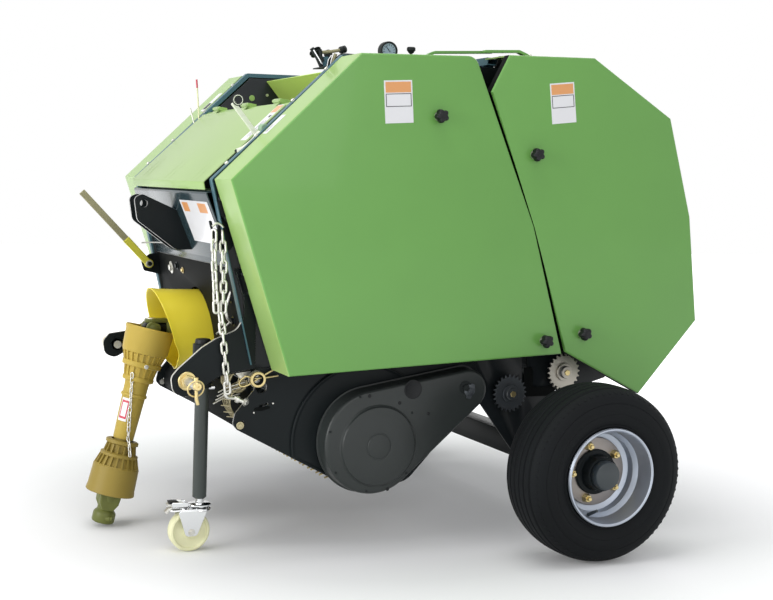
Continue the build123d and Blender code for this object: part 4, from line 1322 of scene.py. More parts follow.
# torsion coils, tabs and bent wires of the crop guard beside each plate
crop = []
for flip in (1, -1):
    coil = [spot(flip * (336 - 1.0 * t), -588 + 24 * cos(t * 0.42), 416 + 26 * sin(t * 0.42))
            for t in range(0, 76)]
    crop.append((1, wire(coil, 2.8, sides=3)))
    x0, x1 = sorted((flip * 340, flip * 346))
    crop.append(side_plate([(-604, 441), (-564, 445), (-566, 428), (-588, 423)], x0, x1, edge=1))
for x, z in ((338, 402), (330, 391), (318, 380), (300, 368)):
    crop.append(straight([(x, -575, z + 14), (x, -620, z + 2), (x, -642, z - 9)], 1.7))
for k in range(5):
    x = 342 - 14 * k
    crop.append((1, bent([(x, -578, 408), (x - 2, -604, 396), (x - 5, -614, 372), (x - 8, -606, 344),
                          (x - 10, -586, 322)], 1.3, sides=2)))
for y, z in ((-610, 390), (-615, 376), (-613, 360), (-606, 344), (-598, 332)):
    crop.append((1, straight([(344, y, z), (286, y - 4, z - 8)], 1.3, sides=2)))
piece("crop_wires", joined(crop), [ZINC, PALE_BRASS], "frame")

# ---- pickup reel: drum, guard hoops and four rows of spring tines --------------------------
drum = [(0, refined("pickup_reel", 1.5))]
for k in range(12):
    x = -330 + 60 * k
    drum.append(lathe([(-9, 84), (-9, 98), (-7, 101), (7, 101), (9, 98), (9, 84)], spot(x, *REEL), TO_LEFT,
                      64, closed=True))
piece("reel_drum", joined(drum), SATIN, "pickup_reel", ["pickup_reel"])
tines = []
for bar_angle in (45, 135, 225, 315):
    c, s = cos(radians(bar_angle)), sin(radians(bar_angle))
    lean_y, lean_z = -s, c

    def on_reel(x, reach, aside=0.0):
        """A place at a reach from the reel's axis towards this row."""
        return spot(x, REEL[0] + reach * c + aside * lean_y, REEL[1] + reach * s + aside * lean_z)

    rod = wire([on_reel(-326, 96), on_reel(326, 96)], 6, sides=3)
    tines.append((1, rod))
    for k in range(11):
        x = 60.0 * (k - 5)
        for half in (-1, 1):
            coil = [on_reel(x + half * (4 + 1.1 * t), 97 + 9.5 * cos(t * 1.1), 9.5 * sin(t * 1.1))
                    for t in range(0, 12)]
            tail = [on_reel(x + half * 18, *place) for place in ((112, 9), (122, 6), (137, -2))]
            tines.append(wire(coil + tail, 2.5, sides=1))
piece("reel_tines", joined(tines), [GOLD, BLACK], "pickup_reel", ["tine_bars"])


# ---- tyres: ribbed tread, rounded shoulders, moulded side rings -------------------------
def tyre_profile():
    """Half section rows (x from the wheel's middle, radius): tread ribs, shoulder, side and bead."""
    rows = []
    grooves = [-50, -30, -10, 10, 30, 50]
    for k in range(61):
        x = -58 + 116 * k / 60
        r = TYRE_R - 0.3 - 7.5 * (abs(x) / 60) ** 2.6
        nearest = min(abs(x - g) for g in grooves)
        if nearest < 2.4:
            r -= 6.0 * (1 - nearest / 2.4) ** 0.6
        rows.append((x, r))
    beyond = [(63, -11), (70, -16), (75.5, -24), (78, -31),
              (79.5, -36), (78.6, -38), (80.6, -41), (82.2, -52), (81.6, -62), (80.6, -64),
              (81.4, -66), (79.5, -76), (75.5, -88), (73.5, -91), (74.5, -94), (71.5, -99),
              (66, -103), (60, -104)]
    outer = [(x, TYRE_R + d) for x, d in beyond]
    return [(-x, r) for x, r in reversed(outer)] + rows + outer


def tread_tyre():
    """The tyre with small blocks round both shoulders."""
    body_mesh = lathe(tyre_profile(), WHEEL_AT, TO_LEFT, 144, closed=True)
    smooth(body_mesh, 28)
    # small blocks round both shoulders
    work = bmesh.new()
    for flip in (1, -1):
        for k in range(72):
            a = 2 * pi * (k + (0.5 if flip > 0 else 0)) / 72
            w = 0.013
            corners = []
            for x, r in ((61, TYRE_R - 10.2), (70.5, TYRE_R - 15.4)):
                for side_a in (a - w, a + w):
                    for lift in (-2, 0.4):
                        rr = r + lift
                        corners.append(work.verts.new(spot(TRACK + flip * (x + lift * 0.5),
                                                           AXLE[0] + rr * cos(side_a),
                                                           AXLE[1] + rr * sin(side_a))))
            a0, a1, b0, b1, c0, c1, d0, d1 = corners
            for face in ((a1, b1, d1, c1), (a0, b0, d0, c0), (a0, a1, c1, c0), (b0, b1, d1, d0),
                         (a0, a1, b1, b0), (c0, c1, d1, d0)):
                work.faces.new(face)
    blocks = finished(work, "blocks")
    return joined([body_mesh, blocks])


tyre = tread_tyre()
RIM_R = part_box("rim_left")[1].z / MM - AXLE[1]
RIM_LINE = [(-70, 2), (-66, 4), (-60, 0), (-34, -3), (-26, -12),
            (-6, -14), (24, -14), (34, -5), (58, -2), (70, 0), (76, 4), (80, 5),
            (84, 3), (84.5, 0), (82, -2.5), (76, -3), (70, -4), (58, -6), (37, -9),
            (27, -18), (-6, -18), (-27, -16), (-36, -7), (-62, -4), (-68, -2)]
rim_parts = [
    # outer half: rolled lip, barrel, drop centre, inner half; one thin shell
    lathe([(x, RIM_R + d) for x, d in RIM_LINE], WHEEL_AT,
          TO_LEFT, 96, closed=True),
    # dished centre
    lathe([(-4, 22), (-4, 60), (-8, 74), (-4, 84), (2, RIM_R - 16), (6, RIM_R - 16), (1, 85), (-3, 74),
           (1, 60), (3, 58), (3, 22)],
          WHEEL_AT, TO_LEFT, 72, closed=True),
    # hub drum, flange and cap
    (1, lathe([(-36, 20), (-36, 38), (-8, 40), (-8, 20)], WHEEL_AT, TO_LEFT, 48, closed=True)),
    (1, lathe([(3, 22), (3, 84), (4.5, 84), (5, 82), (5, 22)], WHEEL_AT, TO_LEFT, 64, closed=True)),
    (4, lathe([(3, 22), (3, 54), (6, 56), (11, 56), (13, 54), (14, 46), (16, 44), (44, 42), (46, 40),
               (46, 22)], WHEEL_AT, TO_LEFT, 64,
              closed=True)),
    (2, lathe([(44, 0), (44, 35), (46, 36), (60, 35.5), (65, 33), (67.5, 27), (68, 0)], WHEEL_AT,
              TO_LEFT, 56)),
]
for k in range(5):
    a = 2 * pi * k / 5 + radians(36)
    at = spot(TRACK + 5, AXLE[0] + 68 * cos(a), AXLE[1] + 68 * sin(a))
    rim_parts.append((3, lathe([(0, 0), (0, 12), (2, 12), (5, 9.5), (12, 9.5), (13, 8.5), (13, 0)], at,
                               TO_LEFT, 6)))
    rim_parts.append((3, lathe([(12, 0), (12, 5), (20, 5), (21, 4), (21, 0)], at, TO_LEFT, 16)))
valve_a = radians(250)
rim_parts.append((2, lathe([(0, 0), (0, 4.5), (22, 4), (24, 3.4), (34, 3.4), (34, 0)],
                           spot(TRACK + 40, AXLE[0] + (RIM_R - 12) * cos(valve_a), AXLE[1] + (RIM_R - 12)
                                * sin(valve_a)),
                           (0.85, -0.5 * cos(valve_a), -0.5 * sin(valve_a)), 14)))
rim = joined(rim_parts)
HUB_DISC = finish("hub_disc", (0.30, 0.27, 0.25), 0.42, metal=0.7, grain=120, bump=0.10, vary=0.25)
CAP = finish("hub_cap", (0.022, 0.031, 0.036), 0.42, coat=0.2, grain=260, bump=0.08, vary=0.10)
wheels = (("left", tyre, rim), ("right", moved(tyre, MIRROR), moved(rim, MIRROR)))
for side_name, tyre_mesh, rim_mesh in wheels:
    piece("tyre_ribbed_" + side_name, tyre_mesh, RUBBER, "wheel_" + side_name, ["tyre_" + side_name])
    piece("rim_dished_" + side_name, rim_mesh, [SILVER, HUB_DISC, CAP, GOLD, BLACK], "wheel_" + side_name,
          ["rim_" + side_name])
piece("axle_tube", refined("axle_beam", 3.0), BLACK, "frame", ["axle_beam"])

# ---- rollers, shafts and sprockets --------------------------------------------------------
def sprocket(at, x0, thick, r_tip, r_root, teeth, turn=0.0):
    """A flat sprocket square to X."""
    points = []
    for k in range(teeth):
        for share, r in ((-0.50, r_root), (-0.27, r_root + 1.0), (-0.10, r_tip), (0.10, r_tip),
                         (0.27, r_root + 1.0)):
            a = 2 * pi * (k + share) / teeth + turn
            points.append((at[0] + r * cos(a), at[1] + r * sin(a)))
    return side_plate(points, x0, x0 + thick, edge=0.8)


def ribbed_drum(at, half=343, r=48):
    """A bale chamber roller: a drum with raised crop ribs and welded end discs."""
    parts = [lathe([(-half, 16), (-half, r - 5), (-half + 2, r - 3), (half - 2, r - 3), (half, r - 5),
                    (half, 16)],
                   spot(0, *at), TO_LEFT, 48)]
    work = bmesh.new()
    for k in range(10):
        a = 2 * pi * k / 10
        c, s = cos(a), sin(a)
        ends = []
        for x in (-half + 6, half - 6):
            ends.append([
                work.verts.new(spot(x, at[0] + rr * c - w * s, at[1] + rr * s + w * c))
                for rr, w in ((r - 4, -4.5), (r - 0.8, -3), (r - 0.2, 0), (r - 0.8, 3), (r - 4, 4.5))
            ])
        skirt(work, *ends)
        work.faces.new(ends[0])
        work.faces.new(ends[1])
    ribs_mesh = finished(work, "ribs")
    smooth(ribs_mesh, 40)
    parts.append(ribs_mesh)
    return parts


CHAMBER = (128, 672)         # the bale chamber's middle
ROLLER_RING = 300            # radius of the ring that the rollers stand on


def ring_place(angle):
    """A roller's place round the chamber."""
    return CHAMBER[0] + ROLLER_RING * cos(radians(angle)), CHAMBER[1] + ROLLER_RING * sin(radians(angle))


ROLLER = finish("roller_steel", (0.13, 0.14, 0.145), 0.36, metal=0.6, grain=160, bump=0.15, vary=0.2)
GEAR_BRIGHT = finish("sprocket_bright", (0.50, 0.47, 0.41), 0.42, metal=0.75, grain=220, bump=0.18, vary=0.18)
FIXED_ROLLERS = (
    ("front_rollers", "rollers_front", (176, 146, 116), "frame"),
    ("rear_rollers", "rollers_rear", (-24, 6, 36, 66), "tailgate"),
)
for name, node, angles, body in FIXED_ROLLERS:
    fixed = []
    for angle in angles:
        fixed += ribbed_drum(ring_place(angle))
        fixed.append(cylinder(-350, 350, 16, spot(0, *ring_place(angle)), TO_LEFT, 24))
    piece(name, joined(fixed), ROLLER, body, [node])
for name, angle, teeth, tip, gear, body in (("floor_roller", -88.5, 24, 49.0, GEAR_DARK, "floor_roller"),
                                            ("tail_roller", -55.7, 22, 49.0, GEAR_BRIGHT, "tail_roller")):
    at = ring_place(angle)
    parts = ribbed_drum(at)
    parts.append(lathe([(-360, 0), (-360, 15), (-359, 16), (391, 16), (392, 15), (392, 0)], spot(0, *at),
                       TO_LEFT, 32))
    parts.append((1, sprocket(at, WALL_OUT + 17, 6, tip, tip - 6.5, teeth, 0.05)))
    parts.append((1, lathe([(0, 16), (0, 24), (5, 24), (6, 23), (6, 16)], spot(WALL_OUT + 23, *at), TO_LEFT,
                           32, closed=True)))
    parts.append((1, cylinder(0, 3, 15, spot(392, *at), TO_LEFT, 32)))
    parts.append((2, bolt(spot(391, *at), TO_LEFT, 8.5, 1.3, 0.6)))
    piece(name + "_drum", joined(parts), [ROLLER, gear, GOLD], body, [name])


# ---- parking jack ------------------------------------------------------------------------
JX, JY = JOINTS["castor_swivel"]["pos_m"][0] / MM, JOINTS["castor_swivel"]["pos_m"][1] / MM - SHIFT
LEG_AT = spot(JX, JY, 0)
JACK_GREEN = finish("jack_paint", (0.045, 0.055, 0.051), 0.34, spec=0.35, grain=240, bump=0.06, vary=0.12)
sleeve = [
    lathe([(0, 17.2), (0, 23), (1, 24), (104, 24), (105, 23), (105, 17.2)], spot(JX, JY, 400), UPWARD, 48,
          closed=True),
    side_plate([(-690, 432, 2), (-646, 432), (-646, 494), (-690, 494, 2)], JX + 20, 350, edge=1),
    side_plate([(-684, 428), (-560, 445), (-560, 498), (-684, 498)], 340, 350, edge=1, radius=6),
]
piece("jack_holder", joined(sleeve), BLACK, "frame", ["jack_sleeve"])
leg = [
    lathe([(127, 0), (127, 12), (131, 17), (478, 17), (478, 0)], LEG_AT, UPWARD, 48),
    (2, cylinder(112, 128, 10, LEG_AT, UPWARD, 32)),
    (1, lathe([(476, 0), (476, 18.5), (480, 19), (488, 19), (490, 17.5), (493, 17.5), (494, 19), (500, 19),
               (502, 17.5), (505, 17.5),
               (506, 19), (513, 19), (516.5, 17), (517.5, 12), (517.5, 0)], LEG_AT, UPWARD, 48)),
    (2, lathe([(109, 0), (109, 26), (111, 28), (114, 28), (115, 26), (115, 0)], LEG_AT, UPWARD, 48)),
]
# pin through the leg
leg.append((2, cylinder(-31, 31, 5, spot(JX, JY, 398), (0, 1, 0), 16)))
piece("jack_tube", joined(leg), [JACK_GREEN, PLASTIC, CHROME], "jack_leg", ["jack_leg"])

# ---- castor: pressed zinc fork, brake pedal and a nylon wheel ---------------------------------
CY, CZ = JOINTS["castor_spin"]["pos_m"][1] / MM - SHIFT, JOINTS["castor_spin"]["pos_m"][2] / MM
CASTOR_AT = spot(JX, CY, CZ)
top_plate = sheet_shape([rounded([(JX - 26, -42, 8), (JX + 26, -42, 8), (JX + 26, 42, 8), (JX - 26, 42, 8)],
                                 8)], 4, 1)
top_plate.transform(Matrix.Translation(spot(0, JY - 35, 102)))
fork_parts = [
    (0, top_plate),
    lathe([(98, 0), (98, 27), (101, 29), (104, 27.5), (106.5, 22), (108, 14), (109, 14), (109, 0)],
          LEG_AT, UPWARD, 48),
    (1, cylinder(102, 141, 8, LEG_AT, UPWARD, 24)),
]
for x in (JX - 26, JX + 22):
    fork_parts.append(side_plate(
        [(CY - 14, CZ - 10, 10), (CY + 14, CZ - 10, 10), (JY + 14, 103, 6), (CY - 34, 103, 6)], x, x + 4,
        [ring(CY, CZ, 5)], edge=1,
        radius=4, steps=6))
    fork_parts.append((1, cylinder(-1, 5, 9.5, spot(x, CY, CZ), TO_LEFT, 6)))
fork_parts.append((1, cylinder(-34, 34, 5, CASTOR_AT, TO_LEFT, 20)))
# brake pedal: a bent strip with a dark pad, and its spring finger
pedal = []
for x in (JX - 20, JX + 14):
    pedal.append(side_plate([(-740, 112, 3), (-700, 112, 3), (-700, 122, 2), (-742, 124, 4)], x, x + 6,
                            edge=1, radius=1))
pedal.append((1, side_plate([(-748, 113, 3), (-706, 113, 3), (-706, 118, 2), (-748, 119, 2)], JX - 14,
                            JX + 14, edge=1, radius=1)))
pedal.append((2, side_plate([(-744, 119, 2), (-722, 119, 2), (-722, 124, 2), (-746, 125, 2)], JX - 12,
                            JX + 12, edge=1, radius=1)))
pedal.append((1, side_plate([(-754, 98, 3), (-744, 108, 3), (-736, 112), (-736, 108), (-742, 104),
                             (-750, 94)], JX - 10, JX + 10, edge=1)))
piece("castor_frame", joined(fork_parts + pedal), [CHROME, ZINC, PLASTIC], "castor_fork",
      ["castor_fork"])
wheel = [
    lathe([(-16, 5.3), (-16, 14), (-13, 17), (-11, 20), (-10, 36), (-12, 40), (-15.5, 42), (-16.5, 44),
           (-15, 47.5), (-11, 49.6),
           (0, 50), (11, 49.6), (15, 47.5), (16.5, 44), (15.5, 42), (12, 40), (10, 36), (11, 20),
           (13, 17), (16, 14), (16, 5.3)],
          CASTOR_AT, TO_LEFT, 72, closed=True),
    (1, tube(-17, 17, 5.3, 9, CASTOR_AT, TO_LEFT, 24)),
]
piece("castor_tyre", joined(wheel), [NYLON, ZINC], "castor_wheel", ["castor_wheel"])


# ---- walls, tubes and hinges --------------------------------------------------------------
WALL = finish("wall_paint", (0.010, 0.013, 0.015), 0.34, spec=0.25, grain=200, bump=0.08, vary=0.22)
PLAIN = {
    # node: (body, material, slot, edge radius mm)
    "wall_left": ("frame", WALL, "black", 0.8), "wall_right": ("frame", WALL, "black", 0.8),
    "cross_frame": ("frame", SLATE, "dark_panel", 3.0), "door_hinges_front": ("frame", BLACK, "black", 0.8),
    "hinge_pins": ("frame", ZINC, "zinc", 1.0),
    "tail_wall_left": ("tailgate", WALL, "black", 0.8), "tail_wall_right": ("tailgate", WALL, "black", 0.8),
    "tail_frame": ("tailgate", SLATE, "dark_panel", 3.0),
    "door_hinges_rear": ("tailgate", BLACK, "black", 0.8),
}
for node, (body, mat, slot_name, width) in PLAIN.items():
    piece(node + "_plate", refined(node, width), mat, body, [node])

# twine box: floor and leaning green back, dark olive up to 1080 mm and bright lime above it as painted
# sunlight
back_panel = [folded([(-648, 872.5), (-291, 872.5), (-250.5, 1131), (-301, 1189.5)], 2.6, -350, 350, 6)]
for face in back_panel[0].polygons:
    if face.center.z > 1.08:
        face.material_index = 1
TWINE = finish("box_paint", (0.10, 0.17, 0.09), 0.45, grain=120, bump=0.06, vary=0.12)
# bright lime raised far over the green paint: painted sunlight on the back's upper part
BACK_PAINTED_SUNLIGHT = finish("back_panel_painted_sunlight", (0.62, 0.88, 0.17), 0.40, coat=0.1, grain=90, bump=0.05, vary=0.03)
piece("twine_box_sheet", joined(back_panel), [TWINE, BACK_PAINTED_SUNLIGHT], "frame", ["twine_box"])

# ---- tailgate cylinders -----------------------------------------------------------------
RAM_A, RAM_B = Vector((-100, 640)), Vector((140, 980))
ram_run = RAM_B - RAM_A
RAM_X = (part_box("ram_rod_left")[0].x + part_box("ram_rod_left")[1].x) / 2 / MM
RAM_WAY = Vector((0, ram_run.x, ram_run.y)).normalized()
LONG = ram_run.length
barrel_end = LONG - 76
EYE = [(-13, 10.2), (-13, 19), (-12, 20), (12, 20), (13, 19), (13, 10.2)]
for side_name, flip in (("left", 1), ("right", -1)):
    base = spot(flip * RAM_X, *RAM_A)
    port = base + RAM_WAY * 52 * MM + Vector((0, 24 * RAM_WAY.z, -24 * RAM_WAY.y)) * MM
    barrel = [
        lathe([(14, 12), (14, 25), (16, 26), (30, 26), (31, 25), (barrel_end - 24, 25),
               (barrel_end - 23, 26), (barrel_end - 2, 26), (barrel_end, 24.5), (barrel_end, 12.7),
               (40, 12.7)], base, RAM_WAY, 48, closed=True),
        lathe(EYE, base, TO_LEFT, 40, closed=True),
        (1, lathe([(0, 0), (0, 9), (9, 9), (9, 7), (16, 7), (16, 0)], port, (0, RAM_WAY.z, -RAM_WAY.y), 6)),
    ]
    rod = [
        lathe([(44, 0), (44, 12), (45, 12.5), (LONG - 18, 12.5), (LONG - 18, 0)], base, RAM_WAY, 40),
        (1, lathe(EYE, spot(flip * RAM_X, *RAM_B), TO_LEFT, 40, closed=True)),
        (1, lathe([(LONG - 34, 12.5), (LONG - 34, 16), (LONG - 16, 18), (LONG - 16, 12.5)], base, RAM_WAY,
                  40, closed=True)),
    ]
    piece("cylinder_" + side_name, joined(barrel), [BLACK, ZINC], "ram_barrel_" + side_name,
          ["ram_barrel_" + side_name])
    piece("cylinder_rod_" + side_name, joined(rod), [CHROME, ZINC], "ram_rod_" + side_name,
          ["ram_rod_" + side_name])


# ---- wall edges, bar and gauge on top, twine brake -------------------------------------------
EDGE = finish("edge_paint", (0.062, 0.14, 0.17), 0.40, spec=0.3, grain=160, bump=0.05, vary=0.12)
for side_name, flip in (("left", 1), ("right", -1)):
    lip = folded([(-572, 462), (-680, 899), (-361, 1208), (-64, 1216)], 2.6, WALL_IN + 1, FLANGE_X - 8, 5)
    web = side_plate([(-560, 470), (-572, 466), (-680, 899), (-361, 1207), (-64, 1215), (-64, 1206),
                      (-356, 1198), (-669, 897)], WALL_IN + 1, WALL_IN + 4, edge=0.5)
    # bolts along the lip
    bits = [lip, web]
    for share in (0.12, 0.34, 0.62, 0.88):
        at = spot(WALL_OUT + 9, -680.5 + 319 * share, 900.5 + 309 * share)
        bits.append((1, bolt(at, (0, -303, 316), 5, 1.0)))
    mesh = joined(bits)
    piece("wall_lip_" + side_name, mesh if flip > 0 else moved(mesh, MIRROR), [EDGE, ZINC], "frame")

# flat bar over the tailgate hinge, in two halves that pass each other when it opens
def strap(points, x0, x1, thick=4.0):
    """A bent flat bar with rounded edges."""
    mesh = folded(points, thick, x0, x1, 10)
    return bevelled(mesh, 0.0006, 2, 40)


piece("top_bar_front", joined([
    strap([(-150, 1190), (-145, 1203), (-120, 1228), (-104, 1235), (58, 1247)], WALL_IN - 12, WALL_IN - 0.5,
          7),
    (1, bolt(spot(WALL_IN - 6, -135, 1218), (0, -0.8, 0.6), 5, 1.0)),
]), [GREEN, ZINC], "frame")
piece("top_bar_rear", joined([
    strap([(28, 1245.5), (126, 1252.5), (148, 1245), (170, 1234), (178, 1206)], WALL_IN + 1.5,
          WALL_OUT + 14, 7),
    (1, bolt(spot(WALL_OUT + 5, 160, 1244), (0, 0.5, 0.86), 5, 1.0)),
]), [GREEN, ZINC], "tailgate")

# arm and cross beam at the tailgate's upper front corner
arm = side_plate([(20, 1172), (62, 1205, 4), (68, 1216, 4), (72, 1226, 6), (74, 1238, 4), (112, 1238, 6),
                  (150, 1200), (60, 1160)],
                 WALL_OUT - 6, WALL_OUT + 2, edge=0.8)
piece("tailgate_arms", joined([arm, moved(arm, MIRROR)]), MATTE_BLACK_AND_PAINTED_SHADE, "tailgate")
beam = []
for y0, z0, y1, z1 in ((54, 1219, 57, 1232), (91, 1219, 94, 1232), (54, 1232, 94, 1235),
                       (54, 1216, 94, 1219)):
    beam.append(side_plate([(y0, z0), (y1, z0), (y1, z1), (y0, z1)], -332, 332, edge=0.8))
for x in (-300, 300):
    beam.append(side_plate([(58, 1217), (90, 1217), (84, 1190), (66, 1190)], x - 4, x + 4, edge=0.8))
piece("top_beam", joined(beam), EDGE, "tailgate")

# gauge and knob on a strip inside the left wall
GX = 312
DIAL_AT = (-217, 1233)
gauge = [
    lathe([(-14, 0), (-14, 12), (-12, 20), (-10, 23), (8, 23), (10, 22.5), (10, 19), (7, 18.5), (7, 0)],
          spot(GX, *DIAL_AT), TO_LEFT, 64),
    (1, cylinder(7, 7.6, 18, spot(GX, *DIAL_AT), TO_LEFT, 48)),
    (2, lathe([(0, 0), (0, 5), (14, 5), (14, 7.5), (24, 7.5), (24, 0)], spot(GX, DIAL_AT[0], 1190), UPWARD,
              16)),
    side_plate([(-240, 1188), (-130, 1193), (-130, 1196), (-240, 1191)], GX - 24, WALL_IN, edge=0.6),
    bent([(GX, -217, 1190), (GX - 4, -230, 1170), (GX - 10, -250, 1150)], 4.0),
    lathe([(0, 0), (0, 4), (40, 4), (40, 6), (44, 8.5), (47, 11), (53, 11), (55, 9), (55, 0)],
          spot(GX, -153, 1192), UPWARD, 24),
]
for k in range(11):
    a = radians(-130 + 26 * k)
    mark = side_plate([(-0.6, 12), (0.6, 12), (0.6, 16), (-0.6, 16)], 0, 0.3, edge=0.05)
    mark.transform(Matrix.Translation(spot(GX + 7.7, *DIAL_AT)) @ Matrix.Rotation(a, 4, "X")
                   @ Matrix.Translation(-spot(0, 0, 0)))
    gauge.append(mark)
needle = side_plate([(-0.8, -4), (0.8, -4), (0.4, 14), (-0.4, 14)], 0, 0.5, edge=0.1)
needle.transform(Matrix.Translation(spot(GX + 8.2, *DIAL_AT)) @ Matrix.Rotation(radians(40), 4, "X")
                 @ Matrix.Translation(-spot(0, 0, 0)))
gauge.append(needle)
DIAL = finish("dial_face", (0.30, 0.42, 0.50), 0.30, coat=0.5, grain=80, bump=0.02, vary=0.06)
piece("pressure_gauge", joined(gauge), [SATIN, DIAL, ZINC], "frame")

# twine brake: leaning tubes, block, rod with a knob and a hose
TX = 300
brake = [
    side_plate([(-402, 1177), (-318, 1184), (-318, 1187), (-402, 1180)], TX - 22, WALL_IN, edge=0.6),
    straight([(TX, -415, 1226), (TX, -400, 1206), (TX, -386, 1180)], 5.5),
    (1, straight([(TX + 5, -412, 1222), (TX + 5, -398, 1203), (TX + 5, -388, 1188)], 1.8)),
    straight([(TX + 2, -394, 1222), (TX + 2, -392, 1208), (TX + 2, -386, 1196)], 5.0),
    lathe([(-5, 0), (-5, 15), (-3, 16), (-1, 9), (1, 9), (3, 16), (5, 15), (5, 0)],
          spot(TX - 10, -400, 1218), (0.4, 0.3, -0.6), 36),
    cylinder(-4, 4, 10, spot(TX - 4, -370, 1216), TO_LEFT, 28),
    (2, bevelled(side_plate([(-386, 1181), (-369, 1182), (-367, 1208), (-384, 1208)], TX - 12, TX + 4,
                            edge=0.8), 0.0004, 1, 40)),
    straight([(TX + 4, -372, 1181), (TX + 4, -370, 1198), (TX + 2, -366, 1212)], 3.6),
    (3, straight([(TX + 6, -364, 1182), (TX + 6, -360, 1198), (TX + 6, -354, 1216)], 4.4)),
    (1, straight([(TX + 8, -377, 1180), (TX + 8, -374, 1200), (TX + 8, -366, 1212)], 1.5)),
    (1, straight([(TX + 8, -352, 1184), (TX + 8, -350, 1204), (TX + 8, -344, 1212)], 1.5)),
    (3, straight([(TX, -388, 1218), (TX, -366, 1221), (TX, -334, 1228)], 4.2)),
    lathe([(0, 0), (0, 8), (3, 9), (7, 9), (9, 7.5), (10, 9), (15, 9), (17, 7), (17, 0)],
          spot(TX, -341, 1226), (0, 1, 0.3), 24),
    bent([(TX + 4, -360, 1184), (TX + 6, -352, 1202), (TX + 10, -342, 1214), (TX + 18, -326, 1214),
          (TX + 34, -310, 1212), (WALL_IN - 6, -290, 1200), (WALL_IN - 6, -270, 1170)], 4.6),
]
piece("twine_brake", joined(brake), [SATIN, CHROME, EDGE, STONE], "frame")

# ---- ring lever with its bent hook over the lid's left edge ---------------------------------------
LX = 352
# pale, near white: painted light on the rod and hook, and a painted highlight as the ring's thin inner rim
PALE_PAINTED_HIGHLIGHT = finish("pale_painted_highlight", (0.76, 0.79, 0.66), 0.45, metal=0.0, spec=0.4, grain=220, bump=0.06, vary=0.18)
ring_at = spot(LX, -616, 1087)
ring_points = [ring_at + Vector((0, 11 * cos(t), 11 * sin(t))) * MM
               for t in [2 * pi * k / 28 for k in range(28)]]
lever_rod = [
    (1, wire(ring_points, 3.0, closed=True)),
    # a thin pale ring set 3.2 mm out to the left: a painted highlight inside the dark ring
    wire([at + Vector((3.2, 0, 0)) * MM for at in ring_points], 0.9, closed=True),
    bevelled(side_plate([(-631, 1077, 3), (-622.5, 1084, 3), (-561.5, 1011, 2), (-570, 1004, 2)], LX - 8,
                        LX, edge=0.8), 0.0004, 1, 40),
    bent([(LX, -614, 967), (LX, -603, 970), (LX + 2, -590, 980), (LX + 2, -573, 994), (LX, -558, 1014)], 7.6),
    (2, lathe([(-8, 0), (-8, 9), (-6, 11), (6, 11), (8, 9), (8, 0)], spot(LX + 2, -552, 1024), (1, 0.2, 0),
              28)),
    (1, bolt(spot(LX - 6, -614, 968), (-0.2, -0.7, 0.7), 4, 1.0)),
]
BALL = finish("pale_knob", (0.30, 0.45, 0.30), 0.42, grain=200, bump=0.06, vary=0.15)
piece("ring_lever", joined(lever_rod), [PALE_PAINTED_HIGHLIGHT, SATIN, BALL], "frame")

# white rod with a red tip, and clips, on the right wall's edge
rod = [
    straight([(-350, -503, 1066), (-350, -507, 1120), (-350, -511, 1164)], 2.2),
    (1, straight([(-350, -510.5, 1158), (-350, -512.5, 1182)], 2.6)),
    (2, straight([(-350, -530, 1100), (-350, -520, 1068), (-350, -514, 1050)], 2.2)),
    (2, lathe([(0, 0), (0, 5), (10, 5), (12, 3), (12, 0)], spot(-350, -503, 1054), (0, -0.1, 1), 16)),
]
for y, z in ((-546, 1024), (-600, 968), (-640, 932)):
    rod.append((2, bolt(spot(-WALL_IN + 4, y, z), (0, -0.69, 0.72), 4.5, 1.2)))
piece("marker_rod", joined(rod), [NYLON, RED, ZINC], "frame")

# lime plug in the right wall's inner face and holes near it
plug = [lathe([(0, 0), (0, 8), (1, 8.5), (2, 8), (2, 0)], spot(-WALL_IN, -346, 1139), TO_LEFT, 28),
        (1, cylinder(0, 3, 4, spot(-WALL_IN, -300, 1150), TO_LEFT, 16)),
        (1, cylinder(0, 3, 4, spot(-WALL_IN, -410, 1080), TO_LEFT, 16))]
piece("wall_plugs", joined(plug), [LIME_PAINTED_SUNLIGHT, ZINC], "frame")


# blank stickers on the lid and on both covers' sloping edges
def on_lid(x, share):
    """A point on the lid, from its lower edge up."""
    return spot(x, -692.5 + 206 * share, 893.8 + 195 * share)


up = Vector((0, -195, 206)).normalized()
corner = on_lid(328, 0.98)
label("lid_label", "twine_lid", corner, on_lid(328, 0.52) - corner, on_lid(284, 0.98) - corner,
      [(0.02, 0.06, 0.22, 0.94, 1), (0.30, 0.20, 0.36, 0.5, 2), (0.45, 0.15, 0.9, 0.18, 2),
       (0.45, 0.5, 0.9, 0.53, 2)], up)
edge_at = spot(FLANGE_X + 8, -566, 1009.6)
way = Vector((0, 308, 303)).normalized()
edge_up = Vector((0, -303, 308)).normalized()
label("edge_label_left", "front_cover_left", edge_at + way * 66 * MM, way * -66 * MM,
      Vector((30 * MM, 0, 0)), [(0.5, 0.2, 0.9, 0.24, 2), (0.5, 0.5, 0.9, 0.54, 2)], edge_up)
far_at = spot(-FLANGE_X - 8, -478, 1096)
label("edge_label_right", "front_cover_right", far_at + way * 78 * MM, way * -78 * MM,
      Vector((-34 * MM, 0, 0)), [(0.55, 0.1, 0.9, 0.9, 2)], edge_up)


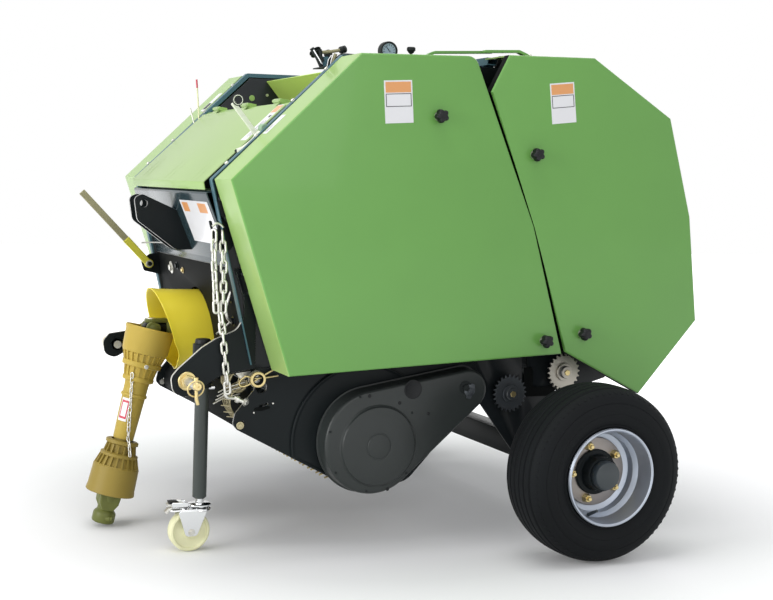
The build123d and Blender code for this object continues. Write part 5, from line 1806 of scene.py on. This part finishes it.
# ---- bolts, slots and pressings low on the sides ----------------------------------------------
side_bits = []
for flip in (1, -1):
    out = (flip, 0, 0)
    face_x = flip * (WALL_OUT + 6)
    for y, z in ((-593, 315), (-449, 241)):
        side_bits.append((1, lathe([(0, 0), (0, 9), (1.4, 9.5), (2, 9), (2, 0)], spot(face_x, y, z), out,
                                   28)))
        side_bits.append((1, bolt(spot(face_x, y, z), out, 5.5, 1.0)))
        side_bits.append(cylinder(0, 5, 8, spot(flip * WALL_OUT, y, z), (-flip, 0, 0), 6))
    # a dark slot with a pin
    slot_line = [(-562, 350, 4), (-556, 357, 4), (-520, 360, 4), (-517, 354, 4), (-540, 348, 4)]
    x0, x1 = sorted((face_x, face_x + flip * 1.2))
    side_bits.append((2, bevelled(side_plate(slot_line, x0, x1, edge=0.3), 0.0002, 1, 40)))
    side_bits.append(bolt(spot(face_x, -512, 366), out, 2.4, 0.6))
    side_bits.append(bolt(spot(face_x, -560, 345), out, 2.2, 0.6))
piece("pickup_bolts", joined(side_bits), [ZINC, PALE_BRASS, MATTE_BLACK_AND_PAINTED_SHADE], "frame")

# bright nuts over the chain case and the latch at its small end
case_bits = []
for y, z, r in ((-211, 398, 6), (-236, 380, 5), (-104, 402, 5)):
    case_bits.append((1, bolt(spot(WALL_OUT + 6, y, z), TO_LEFT, r, 1.2)))
case_bits.append((3, lathe([(0, 0), (0, 14), (2, 15), (5, 15), (6, 13), (6, 0)], spot(GUARD_OUT, -8, 391),
                           TO_LEFT, 36)))
case_bits.append((3, bolt(spot(GUARD_OUT + 5, -8, 391), TO_LEFT, 6.5, 1.4)))
case_bits.append((3, side_plate([(-18, 372, 4), (-4, 368, 4), (8, 404, 4), (-2, 410, 4)], GUARD_OUT + 1,
                                GUARD_OUT + 4, edge=0.5)))
for a in (35, 110, 165, 215, 262, 318):
    at = (BIG[0] + (BIG[2] - 9) * cos(radians(a)), BIG[1] + (BIG[2] - 9) * sin(radians(a)))
    case_bits.append((2, bolt(spot(GUARD_OUT - 3, *at), TO_LEFT, 3.6, 0.8)))
piece("case_bolts", joined(case_bits), [ZINC, GOLD, SATIN, GEAR_DARK], "frame")

# near-black sheet low down in front of the tail roller: painted shade filling the seam
SEAM = [(186, 436), (212, 436, 4), (216, 384, 4), (284, 384, 6), (284, 358, 4), (186, 358)]
seam = side_plate(SEAM, WALL_OUT + 0.6, WALL_OUT + 3.4, edge=0.6)
piece("seam_plate", seam, MATTE_BLACK_AND_PAINTED_SHADE, "frame")
